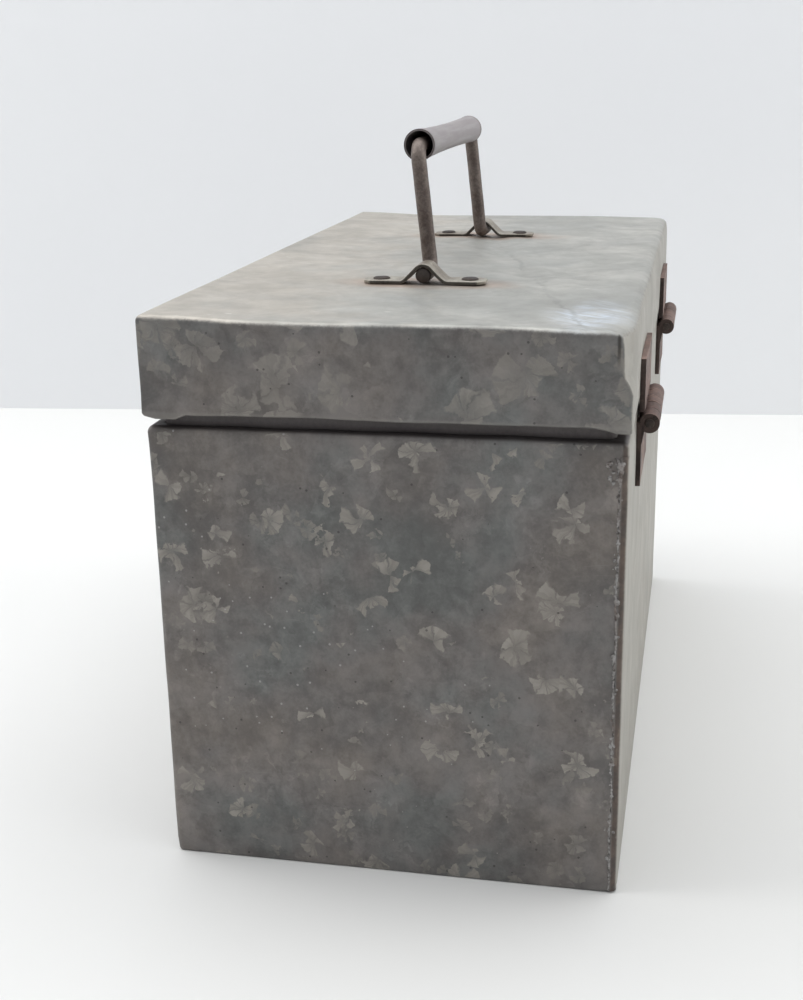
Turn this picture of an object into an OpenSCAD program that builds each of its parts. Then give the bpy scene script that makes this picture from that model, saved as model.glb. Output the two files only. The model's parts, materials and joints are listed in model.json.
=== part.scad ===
// Fireproof document box: galvanised steel shell, insulated walls, hinged lid,
// bail handle with a loose grip, and a hasp with a padlock staple on the front.
// Millimetres. +Z is up, +X runs along the box, -Y is the front, +Y is the hinge side.
// The origin is the centre of the bottom face.

/* [Box] */
// Length of the lid, end to end
lid_l = 360; // [300:5:420]
// Width of the lid, front to back
lid_w = 184; // [160:2:220]
// Height of the lid's top above the bottom face
box_h = 224; // [190:2:260]
// Depth of the lid's skirt
skirt_h = 36; // [30:1:44]
// Open gap between the skirt's lower edge and the base's shoulder
lid_gap = 5; // [4:0.5:7]
// How far the skirt stands outside the base, on each side
overhang = 1; // [0.8:0.1:1.5]
// Thickness of the sheet steel
sheet_t = 0.8; // [0.6:0.1:1]
// Bend radius of the sheet at corners and edges
bend_r = 3.5; // [2.5:0.5:5]

/* [Rim and lining] */
// How far the rim stands inside the base's outer face
rim_inset = 5; // [4:0.5:7]
// Thickness of the insulation boards in the base
board_t = 12; // [9:1:16]
// Depth of the space for insulation in the lid
lid_board_t = 10; // [8:1:12]
// Height of the fold along the skirt's lower edge
hem_h = 5; // [4:0.5:7]

/* [Hinges] */
// Length of one hinge
hinge_l = 54; // [45:1:60]
// Distance from the box's middle to the middle of each hinge
hinge_x = 103; // [80:1:120]
// Height of one leaf, from the pin's axis to its free edge
leaf_h = 25.4; // [23:0.2:26]
// Thickness of a leaf
leaf_t = 2; // [1.5:0.1:2]
// Outer radius of the knuckles
knuckle_r = 3.9; // [3.6:0.1:4]
// Radius of the hinge pin
hinge_pin_r = 1.9; // [1.5:0.1:2]
// Height of the pin's axis above the bottom face
hinge_z = 178; // [170:1:180]

/* [Handle] */
// Distance between the centre lines of the two legs
leg_spacing = 138; // [110:2:160]
// Distance from the feet's axis to the grip's axis
leg_l = 52; // [44:0.5:60]
// Radius of the handle's rod
rod_r = 3.2; // [3:0.1:3.4]
// Lean towards the front, in degrees
handle_lean = 5.8; // [0:0.1:15]
// Place of the handle across the lid
handle_y = -1; // [-10:0.5:10]
// Outer radius of the grip at its ends
grip_r = 6.6; // [6.2:0.1:7]
// Outer radius of the grip at its waist
waist_r = 5.8; // [5.2:0.1:6]
// Wall thickness of the grip
grip_t = 0.9; // [0.6:0.1:1.1]

/* [Saddle brackets] */
// Length of a bracket, from ear to ear
bracket_l = 52; // [46:1:60]
// Width of a bracket
bracket_w = 13; // [10:0.5:15]
// Thickness of a bracket
bracket_t = 1.4; // [1.2:0.1:1.8]
// Slope of the hump's flanks, in degrees
flank_slope = 45; // [40:1:50]
// Radius where a flank turns into its ear
land_r = 3.5; // [3:0.5:5]
// Height of the feet's axis above the lid
foot_rise = 3.6; // [3.4:0.1:4.2]
// Distance from the middle of a bracket to each of its rivets
ear_rivet_y = 19; // [17:0.5:21]
// Radius of a bracket rivet's head
ear_rivet_r = 3.6; // [3:0.1:4]

/* [Hasp] */
// Width of the hasp
hasp_w = 26; // [22:1:32]
// Height of the hasp pin's axis above the bottom face
hasp_z = 176; // [172:1:177]
// Length of the strap, from the pin's axis to its free end
strap_l = 46; // [44:1:48]
// Radius of the hole in the staple, for a padlock's shackle
eye_r = 3.75; // [3.2:0.05:4]
// Thickness of the staple's tab
tab_t = 3; // [2.5:0.1:3.4]

/* [Hidden] */

// Facets of a full circle
$fn = 48;
// Small overlap that makes cuts come out clean
eps = 0.01;
// Clearance between knuckles, along the pin and round it
knuckle_gap = 0.4;
// Radial clearance of a part that turns on a pin
run_fit = 0.05;

base_l = lid_l - 2 * overhang;
base_w = lid_w - 2 * overhang;
lid_z = box_h - skirt_h;
shoulder_z = lid_z - lid_gap;
lid_back_y = lid_w / 2;
base_back_y = base_w / 2;

// Rim: the collar, capped by the liner's flange, just under the lid's liner
lid_liner_z = box_h - sheet_t - lid_board_t - sheet_t;
rim_top_z = lid_liner_z - 0.4;
collar_l = base_l - 2 * rim_inset;
collar_w = base_w - 2 * rim_inset;
// Inner liner, outside size
liner_l = base_l - 2 * (sheet_t + board_t);
liner_w = base_w - 2 * (sheet_t + board_t);
liner_r = 4;
floor_z = sheet_t + board_t;
// Height of the bottom pan's turned-up edge
pan_edge = 9;
// Width of the back panel's flanges, folded round the corners
lap_w = 3.8;
// Solder bead
bead_r = 1;

// Hinges
hinge_y = lid_back_y + 0.1 + knuckle_r;
knuckle_count = 5;
knuckle_l = hinge_l / knuckle_count;
leaf_rivet_r = 2;
leaf_rivet_head_r = 3.5;
leaf_rivet_x = 19;
base_rivet_z = [hinge_z - 17, hinge_z - 11];
lid_rivet_z = [hinge_z + 21.2, hinge_z + 18.4];
rivet_tail = 1.4;
rivet_tail_r = 3;

// Handle
foot_z = box_h + foot_rise;
foot_bend_r = 5;
grip_bend_r = 6.5;
bracket_gap = 1;
bracket_x = leg_spacing / 2 + foot_bend_r + bracket_gap + bracket_w / 2;
foot_end_x = bracket_x + bracket_w / 2 - 0.5;
tunnel_clear = 0.3;
// The arch of a bracket is drawn up to this angle, and its mirror image closes it
arch_join = 88;
ear_shank_r = 2;
ear_head_h = 0.8;
// Gap between each end of the grip and the centre line of the leg beside it
grip_gap = 4.5;
grip_l = leg_spacing - 2 * grip_gap;

// Hasp
hasp_rivet_r = 1.6;
hasp_rivet_head_r = 2.8;
hasp_pin_r = 1.2;
hasp_knuckle_r = 2.8;
hasp_knuckle_l = hasp_w / 3;
hasp_front_y = -base_w / 2;
hasp_y = hasp_front_y - hasp_knuckle_r - 0.4;
hasp_plate_t = 1.4;
hasp_plate_h = 24;
strap_t = 1.6;
// Back face of the strap when it hangs
strap_back_y = hasp_front_y - hasp_plate_t - 0.4;
// The strap's tongue ends inside its knuckle, this far below the axis
tongue_end = 1.6;
slot_mid = 30;
slot_l = 17.5;
slot_w = tab_t + 1.6;
eye_z = hasp_z + slot_mid;
staple_front_y = -lid_w / 2;
staple_plate_t = 1.4;
eye_y = staple_front_y - 9.5;
tab_r = 6.4;

galvanised = [0.42, 0.41, 0.40];
galvanised_dark = [0.34, 0.33, 0.33];
rusty = [0.34, 0.25, 0.23];
dark_steel = [0.27, 0.24, 0.22];
zinc = [0.55, 0.53, 0.54];
board_grey = [0.72, 0.70, 0.66];
solder_grey = [0.50, 0.48, 0.45];

// ---- Shared shapes ----

// Rectangle with round corners, centred
module round_rect(l, w, r) {
    square([l - 2 * r, w], center = true);
    square([l, w - 2 * r], center = true);
    for (sx = [-1, 1], sy = [-1, 1])
        translate([sx * (l / 2 - r), sy * (w / 2 - r)])
            circle(r);
}

// Block with round upright corners and round top edges, from z0 up to z1
module bent_block(l, w, z0, z1, r) {
    translate([0, 0, z0])
        linear_extrude(z1 - r - z0)
            round_rect(l, w, r);
    translate([0, 0, z1 - r])
        round_cap(l, w, r);
}

// The top of that block: a slab with quarter-round edges and corners
module round_cap(l, w, r) {
    translate([0, 0, r / 2])
        cube([l - 2 * r, w - 2 * r, r], center = true);
    for (sx = [-1, 1], sy = [-1, 1])
        translate([sx * (l / 2 - r), sy * (w / 2 - r), 0])
            rotate_extrude()
                intersection() {
                    circle(r);
                    square(r);
                }
    for (s = [-1, 1]) {
        translate([0, s * (w / 2 - r), 0])
            rotate([90, 0, 90])
                linear_extrude(l - 2 * r, center = true)
                    half_disc(r);
        translate([s * (l / 2 - r), 0, 0])
            rotate([90, 0, 0])
                linear_extrude(w - 2 * r, center = true)
                    half_disc(r);
    }
}

module half_disc(r) {
    intersection() {
        circle(r);
        translate([-r, 0])
            square([2 * r, r]);
    }
}

// Upright ring of sheet with round corners
module sheet_ring(l, w, r, z0, z1, t) {
    translate([0, 0, z0])
        linear_extrude(z1 - z0)
            difference() {
                round_rect(l, w, r);
                round_rect(l - 2 * t, w - 2 * t, r - t);
            }
}

// Flush rivet along +Z: head face at z = 0, shank down through the grip, upset tail below
module flush_rivet(r, head_r, grip, tail) {
    rotate_extrude()
        polygon([
            [0, 0], [head_r, 0], [r, -(head_r - r) * 0.8], [r, -grip],
            [rivet_tail_r, -grip], [rivet_tail_r, -grip - tail], [0, -grip - tail]
        ]);
}

// Hole for the same rivet
module flush_hole(r, head_r, depth) {
    rotate_extrude()
        polygon([
            [0, eps], [head_r, eps], [head_r, 0], [r, -(head_r - r) * 0.8],
            [r, -depth], [0, -depth]
        ]);
}

// ---- Base shell ----

module base_sheet() {
    difference() {
        bent_block(base_l, base_w, 0, shoulder_z, bend_r);
        bent_block(base_l - 2 * sheet_t, base_w - 2 * sheet_t, -1, shoulder_z - sheet_t,
            bend_r - sheet_t);
        translate([0, 0, shoulder_z - 5])
            linear_extrude(10)
                round_rect(collar_l, collar_w, liner_r);
    }
}

// Space taken up by the back panel: the back face and a short lap round each corner
module back_zone() {
    translate([-base_l, base_back_y - lap_w, -1])
        cube([2 * base_l, 2 * lap_w, box_h]);
}

module base_rivet_holes() {
    for (side = [-1, 1], i = [-1, 0, 1])
        translate([side * hinge_x + i * leaf_rivet_x, base_back_y + eps, base_rivet_z[i == 0 ? 1 : 0]])
            rotate([90, 0, 0])
                cylinder(r = leaf_rivet_r, h = 3 * sheet_t);
}

module hasp_rivet_places() {
    for (sx = [-1, 1], z = [hasp_z - 8.5, hasp_z - 19])
        translate([sx * 8, hasp_front_y, z])
            children();
}

module base_wrap() {
    color(galvanised)
        difference() {
            base_sheet();
            back_zone();
            hasp_rivet_places()
                rotate([90, 0, 0])
                    cylinder(r = hasp_rivet_r, h = 4, center = true);
        }
}

module base_back() {
    color(galvanised)
        difference() {
            intersection() {
                base_sheet();
                back_zone();
            }
            base_rivet_holes();
        }
}

module base_bottom() {
    color(galvanised_dark)
        difference() {
            linear_extrude(pan_edge)
                round_rect(base_l - 2 * sheet_t, base_w - 2 * sheet_t, bend_r - sheet_t);
            translate([0, 0, sheet_t])
                linear_extrude(pan_edge)
                    round_rect(base_l - 4 * sheet_t, base_w - 4 * sheet_t,
                        bend_r - 2 * sheet_t);
        }
}

module seam_solder() {
    color(solder_grey)
        for (s = [-1, 1])
            intersection() {
                translate([s * (base_l / 2 - 0.4), base_back_y - lap_w, 0])
                    cylinder(r = bead_r, h = shoulder_z - bend_r);
                translate([s > 0 ? base_l / 2 : -base_l, base_back_y - 2 * lap_w, 0])
                    cube([base_l / 2, 2 * lap_w, box_h]);
            }
}

module rim_collar() {
    color(galvanised_dark)
        sheet_ring(collar_l, collar_w, liner_r, shoulder_z - sheet_t, rim_top_z - sheet_t, sheet_t);
}

module inner_liner() {
    color(galvanised) {
        difference() {
            translate([0, 0, floor_z])
                linear_extrude(rim_top_z - floor_z)
                    round_rect(liner_l, liner_w, liner_r);
            translate([0, 0, floor_z + sheet_t])
                linear_extrude(box_h)
                    round_rect(liner_l - 2 * sheet_t, liner_w - 2 * sheet_t, liner_r - sheet_t);
        }
        translate([0, 0, rim_top_z - sheet_t])
            linear_extrude(sheet_t)
                difference() {
                    round_rect(collar_l, collar_w, liner_r);
                    round_rect(liner_l - sheet_t, liner_w - sheet_t, liner_r - sheet_t / 2);
                }
    }
}

// ---- Insulation ----

// Everything between the outer sheet and the liner, before it is cut into boards
module wall_filling() {
    difference() {
        union() {
            translate([0, 0, floor_z])
                linear_extrude(shoulder_z - sheet_t - floor_z)
                    square([base_l - 2 * sheet_t, base_w - 2 * sheet_t], center = true);
            translate([0, 0, floor_z])
                linear_extrude(rim_top_z - sheet_t - floor_z)
                    square([collar_l - 2 * sheet_t, collar_w - 2 * sheet_t], center = true);
        }
        translate([0, 0, -1])
            linear_extrude(2 * box_h)
                square([liner_l, liner_w], center = true);
        sheet_edges();
    }
}

// Room for the bends of the outer sheet, the pan's edge and the rivets' tails
module sheet_edges() {
    translate([0, 0, shoulder_z - bend_r])
        linear_extrude(bend_r)
            difference() {
                square([base_l, base_w], center = true);
                square([base_l - 2 * bend_r, base_w - 2 * bend_r], center = true);
            }
    linear_extrude(pan_edge + sheet_t)
        difference() {
            square([base_l, base_w], center = true);
            square([base_l - 4 * sheet_t, base_w - 4 * sheet_t], center = true);
        }
    for (sx = [-1, 1], sy = [-1, 1])
        translate([sx * base_l / 2, sy * base_w / 2, 0])
            cylinder(r = bend_r, h = 2 * box_h);
    for (sx = [-1, 1], sy = [-1, 1])
        translate([sx * collar_l / 2, sy * collar_w / 2, shoulder_z - sheet_t])
            cylinder(r = liner_r, h = 2 * box_h);
    for (side = [-1, 1], i = [-1, 0, 1])
        translate([side * hinge_x + i * leaf_rivet_x, base_back_y, base_rivet_z[i == 0 ? 1 : 0]])
            rotate([90, 0, 0])
                cylinder(r = rivet_tail_r, h = sheet_t + rivet_tail);
    hasp_rivet_places()
        rotate([-90, 0, 0])
            cylinder(r = rivet_tail_r, h = sheet_t + rivet_tail);
}

// Front and back boards run the whole length, and the end boards fit between them
module long_board(s) {
    color(board_grey)
        intersection() {
            wall_filling();
            translate([-base_l, s > 0 ? liner_w / 2 : -base_w, 0])
                cube([2 * base_l, base_w - liner_w / 2, box_h]);
        }
}

module end_board(s) {
    color(board_grey)
        intersection() {
            wall_filling();
            translate([s > 0 ? liner_l / 2 : -base_l, -liner_w / 2, 0])
                cube([base_l - liner_l / 2, liner_w, box_h]);
        }
}

module insulation_front() {
    long_board(-1);
}

module insulation_back() {
    long_board(1);
}

module insulation_end_near() {
    end_board(1);
}

module insulation_end_far() {
    end_board(-1);
}

module insulation_bottom() {
    color(board_grey)
        translate([0, 0, sheet_t])
            linear_extrude(board_t)
                square([base_l - 6 * sheet_t, base_w - 6 * sheet_t], center = true);
}

// ---- Hinges ----

// One knuckle's outline in the plane across the pin, with the leaf curling up into it.
// The leaf lies against back_y and runs along +Y of the outline, away from the axis.
module knuckle_outline(back_y) {
    reach = hinge_y - back_y;
    circle(knuckle_r);
    polygon([
        [-reach, 0], [-reach, knuckle_r + 5], [leaf_t - reach, knuckle_r + 5],
        [-knuckle_r / 2, knuckle_r * 0.866], [0, 0]
    ]);
}

// Leaf of one hinge. dir = 1 for the lid's leaf, above the axis, and -1 for the base's leaf.
// first is the first knuckle that belongs to this leaf.
module hinge_leaf(side, back_y, dir, first, bore_r, rivet_z) {
    difference() {
        union() {
            translate([side * hinge_x - hinge_l / 2, back_y, dir > 0 ? hinge_z : hinge_z - leaf_h])
                cube([hinge_l, leaf_t, leaf_h]);
            for (k = [first:2:knuckle_count - 1])
                translate([knuckle_x(side, k) + knuckle_gap / 2, hinge_y, hinge_z])
                    rotate([90, 0, 90])
                        mirror([0, dir > 0 ? 0 : 1, 0])
                            linear_extrude(knuckle_l - knuckle_gap)
                                knuckle_outline(back_y);
        }
        for (k = [1 - first:2:knuckle_count - 1])
            translate([knuckle_x(side, k) - knuckle_gap / 2, back_y - 1, hinge_z - knuckle_r - 0.6])
                cube([knuckle_l + knuckle_gap, 2 * knuckle_r, 2 * (knuckle_r + 0.6)]);
        translate([side * hinge_x - hinge_l, hinge_y, hinge_z])
            rotate([0, 90, 0])
                cylinder(r = bore_r, h = 2 * hinge_l);
        leaf_rivet_places(side, back_y + leaf_t, rivet_z)
            flush_hole(leaf_rivet_r, leaf_rivet_head_r, 2 * leaf_t);
    }
}

function knuckle_x(side, k) = side * hinge_x - hinge_l / 2 + k * knuckle_l;

// Three rivets in a shallow triangle, heads facing +Y
module leaf_rivet_places(side, face_y, rivet_z) {
    for (i = [-1, 0, 1])
        translate([side * hinge_x + i * leaf_rivet_x, face_y, rivet_z[i == 0 ? 1 : 0]])
            rotate([-90, 0, 0])
                children();
}

module base_leaf(side) {
    color(rusty)
        hinge_leaf(side, base_back_y, -1, 0, hinge_pin_r, base_rivet_z);
}

module lid_leaf(side) {
    color(rusty)
        hinge_leaf(side, lid_back_y, 1, 1, hinge_pin_r + run_fit, lid_rivet_z);
}

module hinge_pin(side) {
    pin_l = hinge_l + 0.4;
    color(dark_steel)
        translate([side * hinge_x - pin_l / 2, hinge_y, hinge_z])
            rotate([0, 90, 0])
                cylinder(r = hinge_pin_r, h = pin_l);
}

module hinge_base_leaf_near() {
    base_leaf(1);
}

module hinge_base_leaf_far() {
    base_leaf(-1);
}

module hinge_lid_leaf_near() {
    lid_leaf(1);
}

module hinge_lid_leaf_far() {
    lid_leaf(-1);
}

module hinge_pin_near() {
    hinge_pin(1);
}

module hinge_pin_far() {
    hinge_pin(-1);
}

module base_hinge_rivets() {
    color(dark_steel)
        for (side = [-1, 1])
            leaf_rivet_places(side, base_back_y + leaf_t, base_rivet_z)
                flush_rivet(leaf_rivet_r, leaf_rivet_head_r, leaf_t + sheet_t, rivet_tail);
}

module lid_hinge_rivets() {
    color(dark_steel)
        for (side = [-1, 1])
            leaf_rivet_places(side, lid_back_y + leaf_t, lid_rivet_z)
                flush_rivet(leaf_rivet_r, leaf_rivet_head_r, leaf_t + sheet_t, rivet_tail);
}

// ---- Lid ----

module lid_shell() {
    color(galvanised)
        difference() {
            union() {
                difference() {
                    bent_block(lid_l, lid_w, lid_z, box_h, bend_r);
                    bent_block(lid_l - 2 * sheet_t, lid_w - 2 * sheet_t, lid_z - 1, box_h - sheet_t,
                        bend_r - sheet_t);
                }
                sheet_ring(lid_l - sheet_t, lid_w - sheet_t, bend_r - sheet_t / 2, lid_z,
                    lid_z + hem_h, 1.5 * sheet_t);
            }
            for (side = [-1, 1])
                leaf_rivet_places(side, lid_back_y + eps, lid_rivet_z)
                    translate([0, 0, -3 * sheet_t])
                        cylinder(r = leaf_rivet_r, h = 3 * sheet_t);
            ear_rivet_places()
                translate([0, 0, -2 * sheet_t])
                    cylinder(r = ear_shank_r, h = 4 * sheet_t);
            staple_rivet_places()
                rotate([90, 0, 0])
                    cylinder(r = hasp_rivet_r, h = 4 * sheet_t, center = true);
        }
}

module lid_liner() {
    in_l = lid_l - 2 * sheet_t;
    in_w = lid_w - 2 * sheet_t;
    flange = 2.5;
    color(galvanised_dark)
        translate([0, 0, lid_liner_z])
            difference() {
                linear_extrude(sheet_t + flange)
                    round_rect(in_l, in_w, bend_r - sheet_t);
                translate([0, 0, sheet_t])
                    linear_extrude(flange + 1)
                        round_rect(in_l - 2 * sheet_t, in_w - 2 * sheet_t, bend_r - 2 * sheet_t);
            }
}

module insulation_lid() {
    margin = 2 * bend_r;
    color(board_grey)
        difference() {
            translate([0, 0, lid_liner_z + sheet_t])
                linear_extrude(lid_board_t)
                    square([lid_l - margin, lid_w - margin], center = true);
            ear_rivet_places()
                translate([0, 0, -sheet_t - rivet_tail])
                    cylinder(r = rivet_tail_r, h = 2 * rivet_tail);
        }
}

// ---- Saddle brackets ----

// Rivets in the brackets' ears, standing on the lid's top
module ear_rivet_places() {
    for (sx = [-1, 1], sy = [-1, 1])
        translate([sx * bracket_x, handle_y + sy * ear_rivet_y, box_h])
            children();
}

// Points along an arc, from angle a0 to a1
function arc(centre, r, a0, a1, steps = 10) =
    [for (i = [0:steps]) let (a = a0 + (a1 - a0) * i / steps) centre + r * [cos(a), sin(a)]];

function flipped(points) = [for (i = [len(points) - 1:-1:0]) [-points[i].x, points[i].y]];

// Outline of a bracket across the handle's feet: an arch over the foot, a sloping flank on each
// side, a fillet that lands on the lid, and a flat ear beyond
module bracket_outline() {
    arch_r = rod_r + tunnel_clear;
    reach = arch_r + bracket_t + land_r;
    flank_l = reach - (land_r + bracket_t - foot_rise) / cos(flank_slope);
    land = [flank_l * cos(flank_slope) + reach * sin(flank_slope), land_r + bracket_t];
    top = [0, foot_rise];
    upper = concat(
        [[bracket_l / 2, bracket_t]],
        arc(land, land_r, 270, 270 - flank_slope),
        arc(top, arch_r + bracket_t, 90 - flank_slope, arch_join)
    );
    lower = concat(
        arc(top, arch_r, arch_join, 90 - flank_slope),
        arc(land, land_r + bracket_t, 270 - flank_slope, 270),
        [[bracket_l / 2, 0]]
    );
    polygon(concat(upper, flipped(upper), flipped(lower), lower));
}

// Plan of a bracket: a strip whose corners are cut off at both ends
module bracket_plan() {
    cut = bracket_w / 4;
    a = bracket_w / 2;
    b = bracket_l / 2;
    polygon([
        [-a, cut - b], [cut - a, -b], [a - cut, -b], [a, cut - b],
        [a, b - cut], [a - cut, b], [cut - a, b], [-a, b - cut]
    ]);
}

module saddle_bracket(side) {
    color(rusty)
        translate([side * bracket_x, handle_y, box_h])
            difference() {
                intersection() {
                    translate([-bracket_w / 2, 0, 0])
                        rotate([90, 0, 90])
                            linear_extrude(bracket_w)
                                bracket_outline();
                    translate([0, 0, -1])
                        linear_extrude(3 * foot_rise)
                            bracket_plan();
                }
                for (sy = [-1, 1])
                    translate([0, sy * ear_rivet_y, -1])
                        cylinder(r = ear_shank_r, h = 2 * bracket_t);
            }
}

module saddle_bracket_near() {
    saddle_bracket(1);
}

module saddle_bracket_far() {
    saddle_bracket(-1);
}

// Flat-topped rivets: head, shank, and tail under the lid's sheet
module bracket_rivets() {
    color(dark_steel)
        ear_rivet_places()
            rotate_extrude()
                polygon([
                    [0, -sheet_t - rivet_tail], [rivet_tail_r, -sheet_t - rivet_tail],
                    [rivet_tail_r, -sheet_t], [ear_shank_r, -sheet_t], [ear_shank_r, bracket_t],
                    [ear_rivet_r, bracket_t], [ear_rivet_r, bracket_t + ear_head_h / 2],
                    [ear_rivet_r - 0.8, bracket_t + ear_head_h], [0, bracket_t + ear_head_h]
                ]);
}

// ---- Handle ----

// Places its children on the feet's axis, leaning as the handle does.
// There, +Y points up along the legs and +Z towards the front.
module handle_frame() {
    translate([0, handle_y, foot_z])
        rotate([90 + handle_lean, 0, 0])
            children();
}

// Quarter bend of rod, from a run along +X at the origin to a run along +Y
module rod_bend(r) {
    translate([0, r, 0])
        rotate([0, 0, -90])
            rotate_extrude(angle = 90)
                translate([r, 0])
                    circle(rod_r);
}

module handle_rod() {
    half = leg_spacing / 2;
    color(dark_steel)
        handle_frame()
            for (s = [0, 1])
                mirror([s, 0, 0]) {
                    // Foot, turned outward
                    translate([half + foot_bend_r, 0, 0])
                        rotate([0, 90, 0])
                            cylinder(r = rod_r, h = foot_end_x - half - foot_bend_r);
                    translate([half + foot_bend_r, 0, 0])
                        mirror([1, 0, 0])
                            rod_bend(foot_bend_r);
                    // Leg
                    translate([half, foot_bend_r, 0])
                        rotate([-90, 0, 0])
                            cylinder(r = rod_r, h = leg_l - foot_bend_r - grip_bend_r);
                    // Top bend and half of the bar
                    translate([half - grip_bend_r, leg_l, 0])
                        mirror([0, 1, 0])
                            rod_bend(grip_bend_r);
                    translate([0, leg_l, 0])
                        rotate([0, 90, 0])
                            cylinder(r = rod_r, h = half - grip_bend_r);
                }
}

// Rolled tube, widest at its two ends
module grip_tube() {
    half = grip_l / 2;
    steps = 8;
    outer = [for (i = [0:steps]) grip_point(i / steps * 2 - 1, half, 0)];
    inner = [for (i = [steps:-1:0]) grip_point(i / steps * 2 - 1, half, grip_t)];
    color(zinc)
        handle_frame()
            translate([0, leg_l, 0])
                rotate([0, 90, 0])
                    rotate_extrude()
                        polygon(concat(outer, inner));
}

function grip_point(u, half, t) = [waist_r + (grip_r - waist_r) * u * u - t, u * half];

// ---- Hasp ----

module hasp_plate() {
    color(rusty)
        difference() {
            union() {
                translate([-hasp_w / 2, hasp_front_y - hasp_plate_t, hasp_z - hasp_plate_h])
                    cube([hasp_w, hasp_plate_t, hasp_plate_h]);
                for (sx = [-1, 1])
                    translate([sx * (hasp_w / 2 - hasp_knuckle_l / 2), hasp_y, hasp_z])
                        rotate([0, 90, 0])
                            cylinder(r = hasp_knuckle_r, h = hasp_knuckle_l, center = true);
            }
            translate([-hasp_knuckle_l / 2 - knuckle_gap, hasp_front_y - 8,
                    hasp_z - hasp_knuckle_r - 0.5])
                cube([hasp_knuckle_l + 2 * knuckle_gap, 10, 4 * hasp_knuckle_r]);
            translate([0, hasp_y, hasp_z])
                rotate([0, 90, 0])
                    cylinder(r = hasp_pin_r, h = 2 * hasp_w, center = true);
            translate([0, -hasp_plate_t, 0])
                hasp_rivet_places()
                    rotate([90, 0, 0])
                        flush_hole(hasp_rivet_r, hasp_rivet_head_r, 2 * hasp_plate_t);
        }
}

module hasp_pin() {
    color(dark_steel)
        translate([0, hasp_y, hasp_z])
            rotate([0, 90, 0])
                cylinder(r = hasp_pin_r, h = hasp_w + 0.6, center = true);
}

module hasp_plate_rivets() {
    color(dark_steel)
        translate([0, -hasp_plate_t, 0])
            hasp_rivet_places()
                rotate([90, 0, 0])
                    flush_rivet(hasp_rivet_r, hasp_rivet_head_r, hasp_plate_t + sheet_t,
                        rivet_tail);
}

// Strap, hanging from its pin, with a slot that goes over the staple when it is swung up
module hasp_strap() {
    end_r = hasp_w / 2;
    color(rusty)
        difference() {
            union() {
                translate([0, strap_back_y, hasp_z])
                    rotate([90, 0, 0])
                        linear_extrude(strap_t)
                            difference() {
                                union() {
                                    translate([-hasp_w / 2, -strap_l + end_r])
                                        square([hasp_w, strap_l - end_r - hasp_knuckle_r - 0.5]);
                                    translate([-hasp_knuckle_l / 2 + knuckle_gap / 2, -strap_l / 2])
                                        square([hasp_knuckle_l - knuckle_gap,
                                            strap_l / 2 - tongue_end]);
                                    translate([0, -strap_l + end_r])
                                        circle(end_r);
                                }
                                translate([-slot_w / 2, -slot_mid - slot_l / 2])
                                    square([slot_w, slot_l]);
                            }
                translate([0, hasp_y, hasp_z])
                    rotate([0, 90, 0])
                        cylinder(r = hasp_knuckle_r, h = hasp_knuckle_l - 1.5 * knuckle_gap,
                            center = true);
            }
            translate([0, hasp_y, hasp_z])
                rotate([0, 90, 0])
                    cylinder(r = hasp_pin_r + run_fit, h = hasp_w, center = true);
        }
}

module staple_rivet_places() {
    for (sx = [-1, 1])
        translate([sx * 9, staple_front_y, eye_z])
            children();
}

// Plate on the lid's skirt with a forward tab, and a round eye in the tab
module hasp_staple() {
    plate_l = 26;
    plate_h = 16;
    color(rusty)
        difference() {
            union() {
                translate([-plate_l / 2, staple_front_y - staple_plate_t, eye_z - plate_h / 2])
                    cube([plate_l, staple_plate_t, plate_h]);
                translate([-tab_t / 2, eye_y, eye_z - tab_r])
                    cube([tab_t, staple_front_y - eye_y - staple_plate_t / 2, 2 * tab_r]);
                translate([0, eye_y, eye_z])
                    rotate([0, 90, 0])
                        cylinder(r = tab_r, h = tab_t, center = true);
            }
            translate([0, eye_y, eye_z])
                rotate([0, 90, 0])
                    cylinder(r = eye_r, h = 2 * tab_t, center = true);
            translate([0, -staple_plate_t, 0])
                staple_rivet_places()
                    rotate([90, 0, 0])
                        flush_hole(hasp_rivet_r, hasp_rivet_head_r, 2 * staple_plate_t);
        }
}

module staple_rivets() {
    color(dark_steel)
        translate([0, -staple_plate_t, 0])
            staple_rivet_places()
                rotate([90, 0, 0])
                    flush_rivet(hasp_rivet_r, hasp_rivet_head_r, staple_plate_t + sheet_t,
                        rivet_tail);
}

base_wrap();
base_back();
base_bottom();
seam_solder();
rim_collar();
inner_liner();
insulation_front();
insulation_back();
insulation_end_near();
insulation_end_far();
insulation_bottom();
hinge_base_leaf_near();
hinge_base_leaf_far();
hinge_pin_near();
hinge_pin_far();
base_hinge_rivets();
lid_shell();
lid_liner();
insulation_lid();
hinge_lid_leaf_near();
hinge_lid_leaf_far();
lid_hinge_rivets();
saddle_bracket_near();
saddle_bracket_far();
bracket_rivets();
handle_rod();
grip_tube();
hasp_plate();
hasp_pin();
hasp_strap();
hasp_plate_rivets();
hasp_staple();
staple_rivets();
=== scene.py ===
"""Fireproof document box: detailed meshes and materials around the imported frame, in metres."""
import json
import math
import random

import bmesh
import bpy
import numpy as np
from mathutils import Euler, Matrix, Vector, noise


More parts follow.
